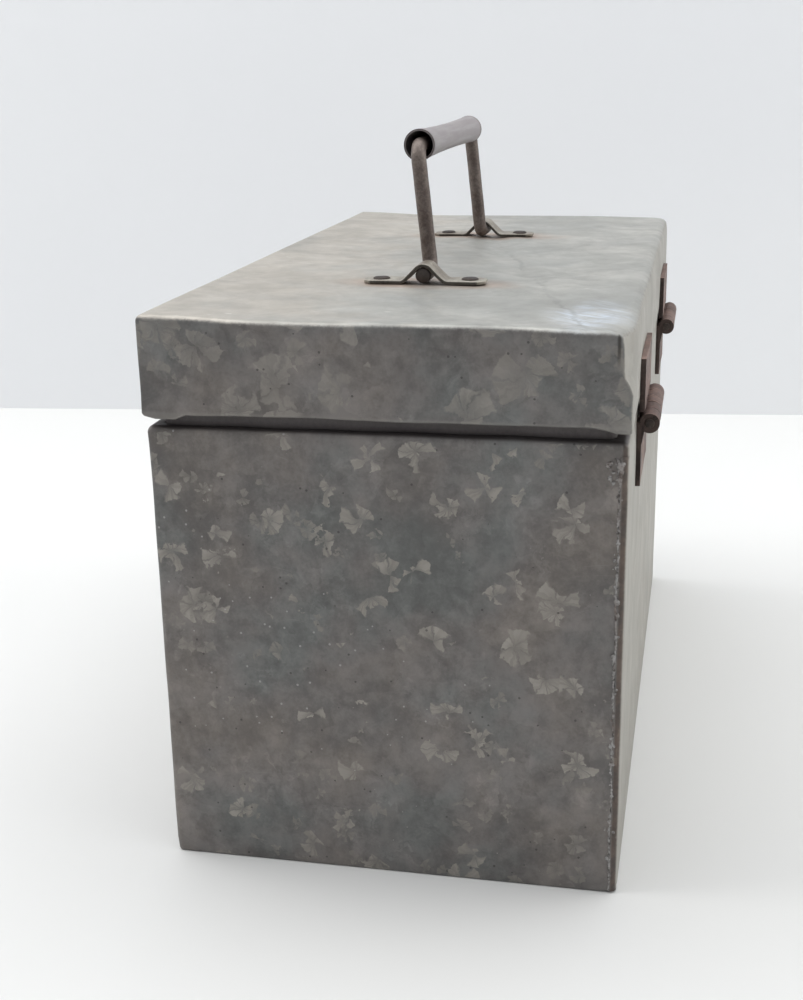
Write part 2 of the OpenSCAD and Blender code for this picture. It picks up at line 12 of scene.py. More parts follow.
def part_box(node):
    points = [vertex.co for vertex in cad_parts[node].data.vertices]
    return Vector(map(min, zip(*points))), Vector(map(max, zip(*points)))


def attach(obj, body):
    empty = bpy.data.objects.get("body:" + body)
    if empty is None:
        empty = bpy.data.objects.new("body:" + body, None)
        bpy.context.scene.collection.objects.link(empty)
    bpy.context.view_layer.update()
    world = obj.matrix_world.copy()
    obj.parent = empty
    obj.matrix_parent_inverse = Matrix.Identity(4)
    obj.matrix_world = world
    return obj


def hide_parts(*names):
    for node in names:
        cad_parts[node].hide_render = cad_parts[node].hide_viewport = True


# noise_vector() takes its offsets from the clock unless it is seeded
noise.seed_set(7)
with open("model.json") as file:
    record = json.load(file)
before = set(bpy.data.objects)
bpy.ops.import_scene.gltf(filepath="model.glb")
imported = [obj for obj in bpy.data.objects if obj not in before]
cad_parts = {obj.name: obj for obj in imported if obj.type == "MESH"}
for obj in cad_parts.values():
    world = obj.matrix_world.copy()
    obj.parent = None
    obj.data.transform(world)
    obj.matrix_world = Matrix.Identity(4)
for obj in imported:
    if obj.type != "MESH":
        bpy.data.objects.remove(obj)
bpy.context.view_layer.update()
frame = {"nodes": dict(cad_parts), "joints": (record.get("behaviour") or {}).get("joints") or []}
MM = 0.001
FULL_TURN = 2 * math.pi


# ---- Measures: places come from the frame ----

def span(node):
    """Centre, half size, lowest and highest corner of a CAD node."""
    lo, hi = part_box(node)
    return (lo + hi) / 2, (hi - lo) / 2, lo, hi


_, lid_half, lid_lo, lid_hi = span("lid_shell")
_, wrap_half, _, wrap_hi = span("base_wrap")
_, _, back_lo, back_hi = span("base_back")
BASE_HX = wrap_half.x
BASE_HY = back_hi.y
SHOULDER_Z = wrap_hi.z
LID_Z, TOP_Z = lid_lo.z, lid_hi.z
JOINTS = {j["name"]: j for j in frame["joints"]}
SHEET = 0.8 * MM
# How far in from the base's face the shoulder reaches
RIM_REACH = 6.2 * MM
# Width of the back panel's flange on the ends, and how far its edge stands in from there
LAP_W = back_hi.y - back_lo.y
LAP_EDGE = 0.7 * MM
BASE_R = 2.4 * MM
# The long soft crease across the lid's top, from near the middle of the far end to the near
# hinge corner
CREASE_FROM = (-0.73 * lid_half.x, -0.13 * lid_half.y)
CREASE_TO = (1.03 * lid_half.x, 0.85 * lid_half.y)
CREASE_TURN = math.atan2(CREASE_TO[1] - CREASE_FROM[1], CREASE_TO[0] - CREASE_FROM[0])


# ---- Mesh helpers ----

def linked(name, data):
    """A new object in the scene."""
    obj = bpy.data.objects.new(name, data)
    bpy.context.scene.collection.objects.link(obj)
    return obj


def add_object(name, verts, faces, body, material):
    """One piece of the object, on a body and with a material slot."""
    mesh = bpy.data.meshes.new(name)
    mesh.from_pydata([tuple(v) for v in verts], [], [tuple(f) for f in faces])
    bm = bmesh.new()
    bm.from_mesh(mesh)
    bmesh.ops.remove_doubles(bm, verts=bm.verts, dist=2e-6)
    bmesh.ops.dissolve_degenerate(bm, edges=bm.edges, dist=1e-6)
    bmesh.ops.recalc_face_normals(bm, faces=bm.faces)
    for face in bm.faces:
        face.smooth = True
    bm.to_mesh(mesh)
    bm.free()
    obj = linked(name, mesh)
    mesh.materials.append(material)
    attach(obj, body)
    return obj


def tube_faces(rows, around, start=0, flip=False):
    """Quads between rows + 1 rings of points round a tube."""
    faces = []
    for i in range(rows):
        for k in range(around):
            a = start + i * around + k
            b = start + i * around + (k + 1) % around
            faces.append((b, a, a + around, b + around) if flip else (a, b, b + around, a + around))
    return faces


def waves(points, wavelength, seed, terms=7):
    """Smooth random field from -1 to 1, from a few plane waves."""
    local = np.random.default_rng(seed)
    total = np.zeros(len(points))
    for _ in range(terms):
        direction = local.normal(size=3)
        direction /= np.linalg.norm(direction)
        length = wavelength * local.uniform(0.7, 1.5)
        total += np.sin(points @ direction * (FULL_TURN / length) + local.uniform(0, 6.28))
    return total / terms ** 0.5 / 1.4


def bump(value, centre, width):
    """1 at the centre, falling off smoothly over the width."""
    return np.exp(-(((value - centre) / width) ** 2))


def step(value, low, high):
    """Smooth step from 0 to 1."""
    t = np.clip((value - low) / (high - low), 0, 1)
    return t * t * (3 - 2 * t)


# ---- Sheet-metal shells ----

CORNER_STEPS = 7


def perimeter(half_x, half_y, radius, pitch):
    """Ring round a rounded rectangle, as one description a point: its corner and angle, or its side
    and how far along it is. ring_points() places it, so rings of other sizes match one to one."""
    steps_x = max(2, round(2 * (half_x - radius) / pitch))
    steps_y = max(2, round(2 * (half_y - radius) / pitch))
    ring = []
    corners = [(1, 1), (-1, 1), (-1, -1), (1, -1)]
    for index, (sx, sy) in enumerate(corners):
        for k in range(CORNER_STEPS + 1):
            ring.append(("corner", sx, sy, index * 90 + 90 * k / CORNER_STEPS))
        steps = steps_x if index % 2 == 0 else steps_y
        nx, ny = corners[(index + 1) % 4]
        for k in range(1, steps):
            ring.append(("side", (sx, sy), (nx, ny), k / steps))
    return ring


def ring_points(ring, half_x, half_y, radius, inset, z):
    """The ring's points at a distance inside the outer face."""
    hx, hy = half_x - inset, half_y - inset
    r = max(radius - inset, 0.0)
    points = []
    for kind, a, b, c in ring:
        if kind == "corner":
            angle = math.radians(c)
            points.append((a * (hx - r) + r * math.cos(angle), b * (hy - r) + r * math.sin(angle), z))
        else:
            ox, oy = (half_x - radius), (half_y - radius)
            x = (a[0] + (b[0] - a[0]) * c) * (ox if a[0] != b[0] else hx)
            y = (a[1] + (b[1] - a[1]) * c) * (oy if a[1] != b[1] else hy)
            points.append((max(-hx, min(hx, x)), max(-hy, min(hy, y)), z))
    return points


def sweep_rings(ring, profile, half_x, half_y, radius, closed):
    """Rings of one profile of (inset, z) pairs, joined by quads."""
    verts, faces = [], []
    count = len(ring)
    for inset, z in profile:
        verts += ring_points(ring, half_x, half_y, radius, inset, z)
    rows = len(profile)
    for i in range(rows if closed else rows - 1):
        j = (i + 1) % rows
        for k in range(count):
            m = (k + 1) % count
            faces.append((i * count + k, i * count + m, j * count + m, j * count + k))
    return verts, faces


def arc_profile(inset, z, radius, a0, a1, steps):
    """Points of an arc in the (inset, z) plane; 180 degrees faces outward and 90 faces up."""
    return [
        (inset + radius * math.cos(math.radians(a0 + (a1 - a0) * k / steps)),
         z + radius * math.sin(math.radians(a0 + (a1 - a0) * k / steps)))
        for k in range(steps + 1)
    ]


def levels(z0, z1, pitch):
    count = max(1, round((z1 - z0) / pitch))
    return [z0 + (z1 - z0) * k / count for k in range(count + 1)]


def top_grid(verts, faces, edge, z):
    """Closes a shell with a grid on the x and y of the last ring's own points."""
    xs = sorted({round(verts[i][0], 7) for i in edge})
    ys = sorted({round(verts[i][1], 7) for i in edge})
    start = len(verts)
    for x in xs:
        for y in ys:
            verts.append((x, y, z))
    rows = len(ys)
    for i in range(len(xs) - 1):
        for j in range(rows - 1):
            a = start + i * rows + j
            faces.append((a, a + rows, a + rows + 1, a + 1))


def wall_side(value, half):
    """-1 or 1 on the walls that face along an axis, and 0 between them."""
    return step(np.abs(value), half - 3 * MM, half - 1 * MM) * np.sign(value)


def lid_field(p):
    """Dents and wear of the lid, as one smooth displacement that the sheet's two faces share."""
    x, y, z = p[:, 0], p[:, 1], p[:, 2]
    hx, hy = lid_half.x, lid_half.y
    d = np.zeros_like(p)
    below = TOP_Z - z
    top = step(z, TOP_Z - 3 * MM, TOP_Z - 0.5 * MM)
    side_x, side_y = wall_side(x, hx), wall_side(y, hy)
    inner = step(hx - np.abs(x), 0, 18 * MM) * step(hy - np.abs(y), 0, 18 * MM)
    # Panels aren't quite flat
    d[:, 2] += top * inner * (0.55 * waves(p, 150 * MM, 3) + 0.22 * waves(p, 46 * MM, 4)) * MM
    d[:, 2] -= top * inner * 0.35 * MM
    d[:, 0] += side_x * (0.25 * waves(p, 70 * MM, 5) + 0.1 * waves(p, 20 * MM, 6)) * MM
    d[:, 1] += side_y * (0.25 * waves(p, 90 * MM, 8) + 0.1 * waves(p, 24 * MM, 9)) * MM
    # The front edge stands a little high and the hinge edge a little low
    rise = step(np.abs(y), 38 * MM, hy) * step(z, LID_Z + 10 * MM, TOP_Z - 1 * MM)
    d[:, 2] += rise * np.where(y < 0, 1.9, -0.8) * MM
    # A long soft crease across the top, and a few dents beside it
    a, b = np.array(CREASE_FROM), np.array(CREASE_TO)
    along = (b - a) / np.linalg.norm(b - a)
    u = (x - a[0]) * along[0] + (y - a[1]) * along[1]
    v = -(x - a[0]) * along[1] + (y - a[1]) * along[0]
    length = np.linalg.norm(b - a)
    ends = step(u, 0, 40 * MM) * (1 - step(u, length - 40 * MM, length))
    wander = 3 * MM * np.sin(u * 30) + 1.5 * MM * np.sin(u * 83 + 1)
    d[:, 2] -= top * ends * 0.8 * MM * bump(v, wander, 6 * MM)
    d[:, 2] += top * ends * 0.45 * MM * bump(v, wander + 9 * MM, 7 * MM)
    for cx, cy, r, depth in ((0.118, 0.05, 15, 0.6), (0.03, 0.06, 20, 0.5), (-0.06, -0.05, 22, 0.5)):
        d[:, 2] -= top * inner * depth * MM * bump(np.hypot(x - cx, y - cy), 0, r * MM)
    # The hinge side's long edge is bent to a softer radius than the others
    soft = step(y, hy - 9 * MM, hy) * np.exp(-below / (3.4 * MM))
    d[:, 1] -= soft * 1.6 * MM
    near_edge = np.exp(-(hy - y) / (3.6 * MM)) * np.exp(-below / (4 * MM))
    d[:, 2] -= near_edge * 1.1 * MM
    # The near edge wanders a little
    d[:, 2] += np.exp(-(hx - x) / (5 * MM)) * top * 0.25 * waves(p, 34 * MM, 11) * MM
    # Near hinge-side corner: knocked in above, swelling out below, with a flared foot
    corner = np.exp(-((hx - x) / (12 * MM)) ** 2) * step(y, hy - 14 * MM, hy - 2 * MM) * (x > 0)
    dented = step(z, LID_Z + 13 * MM, LID_Z + 20 * MM)
    d[:, 1] -= corner * dented * 3.7 * MM
    d[:, 0] -= corner * dented * 0.6 * MM
    d[:, 1] -= corner * (1 - dented) * 0.5 * MM
    low = 1 - step(z, LID_Z, LID_Z + 7 * MM)
    foot = bump(x, hx, 9 * MM) * bump(y, hy - 3 * MM, 7 * MM)
    d[:, 2] -= foot * low * 2.0 * MM
    d[:, 1] += foot * (1 - step(z, LID_Z, LID_Z + 4 * MM)) * 0.4 * MM
    # Near front corner: the tab of the fold hangs a little lower
    tab = step(-y, hy - 16 * MM, hy - 13.5 * MM) * step(x, hx - 9 * MM, hx - 3 * MM)
    d[:, 2] -= tab * low * 1.9 * MM
    d[:, 0] += tab * low * 0.35 * MM
    rounded = tab * step(-y, hy - 3 * MM, hy)
    d[:, 2] += rounded * low * 1.5 * MM
    # The lower edge is rolled by hand
    d[:, 2] += low * (1 - np.clip(tab + foot, 0, 1)) * 0.22 * waves(p, 26 * MM, 12) * MM
    return p + d


def build_lid(material):
    """The lid as one bent sheet: hemmed lower edge, skirt, and a top closed by two grids."""
    radius, top_r, hem_r = 1.2 * MM, 2.8 * MM, 1.0 * MM
    hx, hy = lid_half.x, lid_half.y
    ring = perimeter(hx, hy, radius, 4 * MM)
    outer = arc_profile(hem_r, LID_Z + hem_r, hem_r, 270, 180, 6)
    outer += [(0, z) for z in levels(LID_Z + hem_r, TOP_Z - top_r, 3 * MM)[1:]]
    outer += arc_profile(top_r, TOP_Z - top_r, top_r, 180, 90, 9)[1:]
    verts, faces = sweep_rings(ring, outer, hx, hy, radius, False)
    last = range((len(outer) - 1) * len(ring), len(outer) * len(ring))
    top_grid(verts, faces, last, TOP_Z)
    hem_top = LID_Z + 5 * MM
    inner = [(hem_r * 2, LID_Z + hem_r), (hem_r * 2, hem_top - 0.5 * MM), (1.7 * MM, hem_top),
             (SHEET, hem_top + 0.3 * MM)]
    inner += [(SHEET, z) for z in levels(hem_top + 1 * MM, TOP_Z - top_r, 6 * MM)]
    inner += arc_profile(top_r, TOP_Z - top_r, top_r - SHEET, 180, 90, 5)[1:]
    start = len(verts)
    more, more_faces = sweep_rings(ring, inner, hx, hy, radius, False)
    verts += more
    faces += [tuple(i + start for i in f) for f in more_faces]
    count = len(ring)
    for k in range(count):
        m = (k + 1) % count
        faces.append((k, m, start + m, start + k))
    last = range(start + (len(inner) - 1) * count, start + len(inner) * count)
    top_grid(verts, faces, last, TOP_Z - SHEET)
    shaped = lid_field(np.array(verts))
    obj = add_object("lid_sheet", shaped, faces, "lid", material)
    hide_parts("lid_shell")


def base_field(p):
    """Wear of the base, as one smooth displacement."""
    x, y, z = p[:, 0], p[:, 1], p[:, 2]
    hx, hy = BASE_HX, BASE_HY
    d = np.zeros_like(p)
    side_x, side_y = wall_side(x, hx), wall_side(y, hy)
    mid_z = step(z, 2 * MM, 24 * MM) * (1 - step(z, SHOULDER_Z - 24 * MM, SHOULDER_Z - 2 * MM))
    d[:, 0] += side_x * mid_z * (0.35 * waves(p, 110 * MM, 21) + 0.08 * waves(p, 28 * MM, 22)) * MM
    d[:, 1] += side_y * mid_z * (0.3 * waves(p, 120 * MM, 23) + 0.08 * waves(p, 30 * MM, 24)) * MM
    # The shoulder is folded by hand: its lip wavers, with a small bump at the near front corner
    lip = step(z, SHOULDER_Z - 5 * MM, SHOULDER_Z)
    d[:, 2] += lip * 0.25 * waves(p, 30 * MM, 25) * MM
    knob = bump(y, -hy + 2 * MM, 3 * MM) * bump(z, SHOULDER_Z - 4 * MM, 2.5 * MM) * (x > 0)
    d[:, 1] -= knob * step(x, hx - 8 * MM, hx) * 0.5 * MM
    # Knocked corners at the foot of the near end
    foot = bump(z, 0, 2.5 * MM) * step(x, hx - 6 * MM, hx)
    d[:, 1] -= foot * step(y, hy - 5 * MM, hy) * 1.2 * MM
    d[:, 2] += bump(z, 0, 1.5 * MM) * step(x, hx - 6 * MM, hx) * step(y, hy - 5 * MM, hy) * 1.0 * MM
    d[:, 1] += foot * step(-y, hy - 3 * MM, hy) * 0.6 * MM
    return p + d


def build_base(material):
    """The base's four walls as one closed profile, with the rounded shoulder folded inward."""
    ring = perimeter(BASE_HX, BASE_HY, BASE_R, 4 * MM)
    lip_r = 2.6 * MM
    profile = arc_profile(1.0 * MM, 1.0 * MM, 1.0 * MM, 265, 180, 5)
    profile += [(0, z) for z in levels(1 * MM, SHOULDER_Z - lip_r, 4.5 * MM)[1:]]
    profile += arc_profile(lip_r, SHOULDER_Z - lip_r, lip_r, 180, 90, 7)[1:]
    profile += [(4.2 * MM, SHOULDER_Z - 0.1 * MM), (RIM_REACH, SHOULDER_Z - 0.15 * MM),
                (RIM_REACH, SHOULDER_Z - SHEET - 0.15 * MM)]
    profile += arc_profile(lip_r, SHOULDER_Z - lip_r, lip_r - SHEET, 90, 180, 4)
    profile += [(SHEET, z) for z in levels(1 * MM, SHOULDER_Z - lip_r, 9 * MM)[-2::-1]]
    profile.append((SHEET + 0.1 * MM, 0.2 * MM))
    verts, faces = sweep_rings(ring, profile, BASE_HX, BASE_HY, BASE_R, True)
    shaped = base_field(np.array(verts))
    obj = add_object("base_sheet", shaped, faces, "base", material)
    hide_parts("base_wrap", "base_back")


def build_laps(material):
    """Flanges of the back panel, bent round the corner over the ends' sheet."""
    rows = 60
    proud, sunk = 0.42 * MM, 0.5 * MM
    flat_end = LAP_W - BASE_R
    outline = [(-0.3 * MM, 0.0), (0.15 * MM, 0.02 * MM), (0.36 * MM, 0.2 * MM), (proud, 0.5 * MM)]
    outline = [(out, across + LAP_EDGE) for out, across in outline]
    for k in range(9):
        turn = math.radians(90 * k / 8)
        r = BASE_R + proud * (1 - k / 8) - 0.03 * MM
        outline.append((r * math.cos(turn) - BASE_R, flat_end + r * math.sin(turn)))
    width = len(outline)
    for side, name in ((1, "back_flange_near"), (-1, "back_flange_far")):
        verts, faces = [], []
        for i in range(rows + 1):
            z = 0.9 * MM + (SHOULDER_Z - 6 * MM) * i / rows
            ragged = (0.14 * math.sin(i * 1.7) + 0.1 * math.sin(i * 0.61 + 1)) * MM
            for k, (out, across) in enumerate(outline):
                edge = ragged if k < 3 else 0
                verts.append((side * (BASE_HX + out), back_lo.y + across + edge, z))
        for i in range(rows):
            for j in range(width - 1):
                a = i * width + j
                faces.append((a, a + 1, a + width + 1, a + width))
        back = len(verts)
        verts += [(v[0] - side * sunk, v[1] - 0.2 * MM, v[2]) for v in verts[:back]]
        faces += [tuple(i + back for i in reversed(f)) for f in list(faces)]
        border = [i * width for i in range(rows + 1)] + [rows * width + j for j in range(1, width)]
        border += [i * width + width - 1 for i in range(rows - 1, -1, -1)]
        border += [j for j in range(width - 2, 0, -1)]
        for k, a in enumerate(border):
            b = border[(k + 1) % len(border)]
            faces.append((a, b, b + back, a + back))
        add_object(name, verts, faces, "base", material)


def build_solder(material):
    """Lumpy bead down each soldered corner seam, ending in a ragged blob under the shoulder."""
    for side, name in ((1, "solder_bead_near"), (-1, "solder_bead_far")):
        local = random.Random(31 + side)
        rows, around, verts = 260, 10, []
        top = SHOULDER_Z - 7 * MM
        size = 0.55
        for i in range(rows + 1):
            z = 1.2 * MM + (top - 1.2 * MM) * i / rows
            size += (local.uniform(0.25, 0.95) - size) * 0.55
            near_top = math.exp(-((top - z) / (5 * MM)) ** 2)
            width = (0.8 * size + 1.5 * near_top * local.uniform(0.6, 1.2)) * MM
            height = (0.35 + 0.55 * size + 0.5 * near_top) * MM
            y = back_lo.y + LAP_EDGE + (0.25 * math.sin(i * 0.13) + local.uniform(-0.15, 0.15)) * MM
            for k in range(around):
                angle = FULL_TURN * k / around
                verts.append((side * (BASE_HX + height * math.cos(angle) - 0.15 * MM),
                              y + width * math.sin(angle), z))
        faces = tube_faces(rows, around)
        faces.append(tuple(reversed(range(around))))
        faces.append(tuple(range(rows * around, (rows + 1) * around)))
        obj = add_object(name, verts, faces, "base", material)
        if side > 0:
            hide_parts("seam_solder")
    build_drips(material)


def build_drips(material):
    """Beads and splashes that stand on the seam, as separate lumps of one piece."""
    local = random.Random(5)
    bm = bmesh.new()
    for side in (1, -1):
        for _ in range(95):
            z = local.uniform(3 * MM, SHOULDER_Z - 10 * MM)
            if local.random() < 0.25:
                z = SHOULDER_Z - 8 * MM + local.uniform(-6, 3) * MM
            scale = local.uniform(0.25, 0.75)
            across = LAP_EDGE / MM + local.gauss(0, 0.55)
            if z > SHOULDER_Z - 16 * MM:
                across += local.uniform(-4, 1)
            place = Matrix.Translation((side * (BASE_HX + 0.25 * MM), back_lo.y + across * MM, z))
            shape = Matrix.Diagonal((0.6, local.uniform(0.7, 1.3), local.uniform(0.8, 2.2), 1))
            turn = Euler((local.uniform(-0.6, 0.6), 0, 0)).to_matrix().to_4x4()
            bmesh.ops.create_icosphere(bm, subdivisions=2, radius=scale * MM,
                                       matrix=place @ turn @ shape)
    for v in bm.verts:
        v.co += noise.noise_vector(v.co * 900) * 0.15 * MM
    for f in bm.faces:
        f.smooth = True
    mesh = bpy.data.meshes.new("solder_drips")
    bm.to_mesh(mesh)
    bm.free()
    obj = linked("solder_drips", mesh)
    mesh.materials.append(material)
    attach(obj, "base")


# ---- Worn copies of CAD nodes ----

def worn_copy(node, name, body, material, bevel, rough, seed, cells=0.0, field=None, drop=0.0):
    """The node's own shape with its edges bevelled and its faces slightly uneven, by rough. cells is
    the longest edge left, field a shared displacement to follow, and drop lowers the upper half."""
    mesh = frame["nodes"][node].data.copy()
    mesh.name = name
    mesh.materials.clear()
    bm = bmesh.new()
    bm.from_mesh(mesh)
    bmesh.ops.remove_doubles(bm, verts=bm.verts, dist=3e-6)
    bmesh.ops.dissolve_limit(bm, angle_limit=math.radians(2), verts=bm.verts, edges=bm.edges)
    bm.to_mesh(mesh)
    bm.free()
    obj = linked(name, mesh)
    mod = obj.modifiers.new("bevel", "BEVEL")
    mod.width = bevel
    mod.segments = 3
    mod.limit_method = "ANGLE"
    mod.angle_limit = math.radians(35)
    mod.use_clamp_overlap = True
    bpy.context.view_layer.update()
    graph = bpy.context.evaluated_depsgraph_get()
    baked = bpy.data.meshes.new_from_object(obj.evaluated_get(graph))
    obj.modifiers.clear()
    obj.data = baked
    bpy.data.meshes.remove(mesh)
    bm = bmesh.new()
    bm.from_mesh(baked)
    bmesh.ops.triangulate(bm, faces=[f for f in bm.faces if len(f.verts) > 4])
    if cells:
        for _ in range(3):
            long = [e for e in bm.edges if e.calc_length() > cells]
            bmesh.ops.subdivide_edges(bm, edges=long, cuts=1)
            bmesh.ops.triangulate(bm, faces=[f for f in bm.faces if len(f.verts) > 4])
    offset = Vector((seed * 3.1, seed * 1.7, seed))
    for v in bm.verts:
        v.co += noise.noise_vector(v.co * 300 + offset) * rough
        v.co += noise.noise_vector(v.co * 90 + offset) * rough * 1.4
    for face in bm.faces:
        face.smooth = True
    bm.to_mesh(baked)
    bm.free()
    if field is not None:
        flat = np.zeros(len(baked.vertices) * 3)
        baked.vertices.foreach_get("co", flat)
        points = flat.reshape(-1, 3)
        upper = points[:, 2] > points[:, 2].mean()
        points = field(points)
        points[upper, 2] -= drop
        baked.vertices.foreach_set("co", points.ravel())
        baked.update()
    baked.name = name
    baked.set_sharp_from_angle(angle=math.radians(38))
    baked.materials.append(material)
    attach(obj, body)
    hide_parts(node)


# ---- Handle ----

FOOT = Vector(JOINTS["handle_swing"]["pos_m"])
GRIP = Vector(JOINTS["grip_spin"]["pos_m"])
UP = (GRIP - FOOT).normalized()
# Distance of each leg's centre line from the middle of the bail
LEG_X = 69 * MM


def sweep_rod(path, radius, around, wobble, chamfer):
    """Round rod along a path, with small dings and a chamfer on each cut end."""
    verts = []
    side = Vector((0, -UP.z, UP.y))
    count = len(path)
    for i, point in enumerate(path):
        ahead = path[min(i + 1, count - 1)] - path[max(i - 1, 0)]
        tangent = ahead.normalized()
        other = tangent.cross(side).normalized()
        r = radius - chamfer if i in (0, count - 1) else radius
        for k in range(around):
            angle = FULL_TURN * k / around
            out = side * math.cos(angle) + other * math.sin(angle)
            ding = noise.noise(point * 160 + out * 0.9) * wobble + noise.noise(point * 45) * wobble
            verts.append(point + out * (r + ding))
    faces = tube_faces(count - 1, around)
    for ring, flip in ((0, True), (count - 1, False)):
        centre = len(verts)
        verts.append(path[ring])
        for k in range(around):
            a, b = ring * around + k, ring * around + (k + 1) % around
            faces.append((b, a, centre) if flip else (a, b, centre))
    return verts, faces


def build_handle(material):
    """The bail: two feet along X, two legs and the bar under the grip."""
    radius = 3.2 * MM
    foot_r, grip_r = 5.0 * MM, 6.5 * MM
    reach = (GRIP - FOOT).length
    end_x = span("handle_rod")[3].x

    def place(x, v):
        return Vector((x, 0, 0)) + Vector((0, FOOT.y, FOOT.z)) + UP * v

    half_path = [place(end_x, 0), place(end_x - 0.5 * MM, 0), place(end_x - 2 * MM, 0)]
    bend_x = LEG_X + foot_r
    half_path += [place(bend_x + (end_x - 2 * MM - bend_x) * (1 - k / 4), 0) for k in range(1, 4)]
    for k in range(9):
        angle = math.radians(90 * k / 8)
        half_path.append(place(bend_x - foot_r * math.sin(angle), foot_r - foot_r * math.cos(angle)))
    straight = reach - foot_r - grip_r
    half_path += [place(LEG_X, foot_r + straight * k / 16) for k in range(1, 16)]
    bar_x = LEG_X - grip_r
    for k in range(10):
        angle = math.radians(90 * k / 9)
        rise = reach - grip_r + grip_r * math.sin(angle)
        half_path.append(place(bar_x + grip_r * math.cos(angle), rise))
    half_path += [place(bar_x * (1 - k / 20), reach) for k in range(1, 20)]
    mirrored = [Vector((-p.x, p.y, p.z)) for p in reversed(half_path)]
    path = half_path + [place(0, reach)] + mirrored
    verts, faces = sweep_rod(path, radius, 28, 0.09 * MM, 0.5 * MM)
    obj = add_object("handle_bail", verts, faces, "handle", material)
    obj.data.set_sharp_from_angle(angle=math.radians(50))
    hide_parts("handle_rod")


def build_grip(material):
    """Rolled tube with a lapped seam along it, waisted in the middle and flared at its open ends."""
    half_length = span("grip_tube")[1].x
    end_r, waist_r, wall = 6.6 * MM, 5.8 * MM, 0.75 * MM
    around, rows = 72, 64
    verts = []

    def radius_at(u, angle, inside):
        r = waist_r + (end_r - waist_r) * abs(u) ** 2.2
        lap = (angle / FULL_TURN) * 0.32 * MM
        r += lap - 0.16 * MM
        r += 0.07 * MM * noise.noise(Vector((u * 6, math.cos(angle) * 1.3, math.sin(angle) * 1.3)))
        r += 0.1 * MM * bump(abs(u), 0.992, 0.012)
        if inside:
            r -= wall
        return r

    # Rings stand closer together towards the ends
    stations = [math.sin(math.pi / 2 * (-1 + 2 * i / rows)) for i in range(rows + 1)]
    for inside in (False, True):
        for u in stations:
            for k in range(around):
                angle = FULL_TURN * k / around
                r = radius_at(u, angle, inside)
                x = u * half_length
                if abs(u) > 0.9999:
                    # The rim is broken: the outside stops shorter than the inside
                    x -= math.copysign(0.1 * MM if inside else 0.35 * MM, u)
                    r += 0.25 * MM if inside else -0.25 * MM
                direction = angle + math.radians(250)
                verts.append((x, GRIP.y + r * math.cos(direction), GRIP.z + r * math.sin(direction)))
    size = (rows + 1) * around
    faces = tube_faces(rows, around, 0, True) + tube_faces(rows, around, size)
    for row in (0, rows):
        for k in range(around):
            m = (k + 1) % around
            a, b = row * around + k, row * around + m
            faces.append((a, b, b + size, a + size))
    obj = add_object("grip_sleeve", verts, faces, "grip", material)
    obj.data.set_sharp_from_angle(angle=math.radians(40))
    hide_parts("grip_tube")


# ---- Materials ----

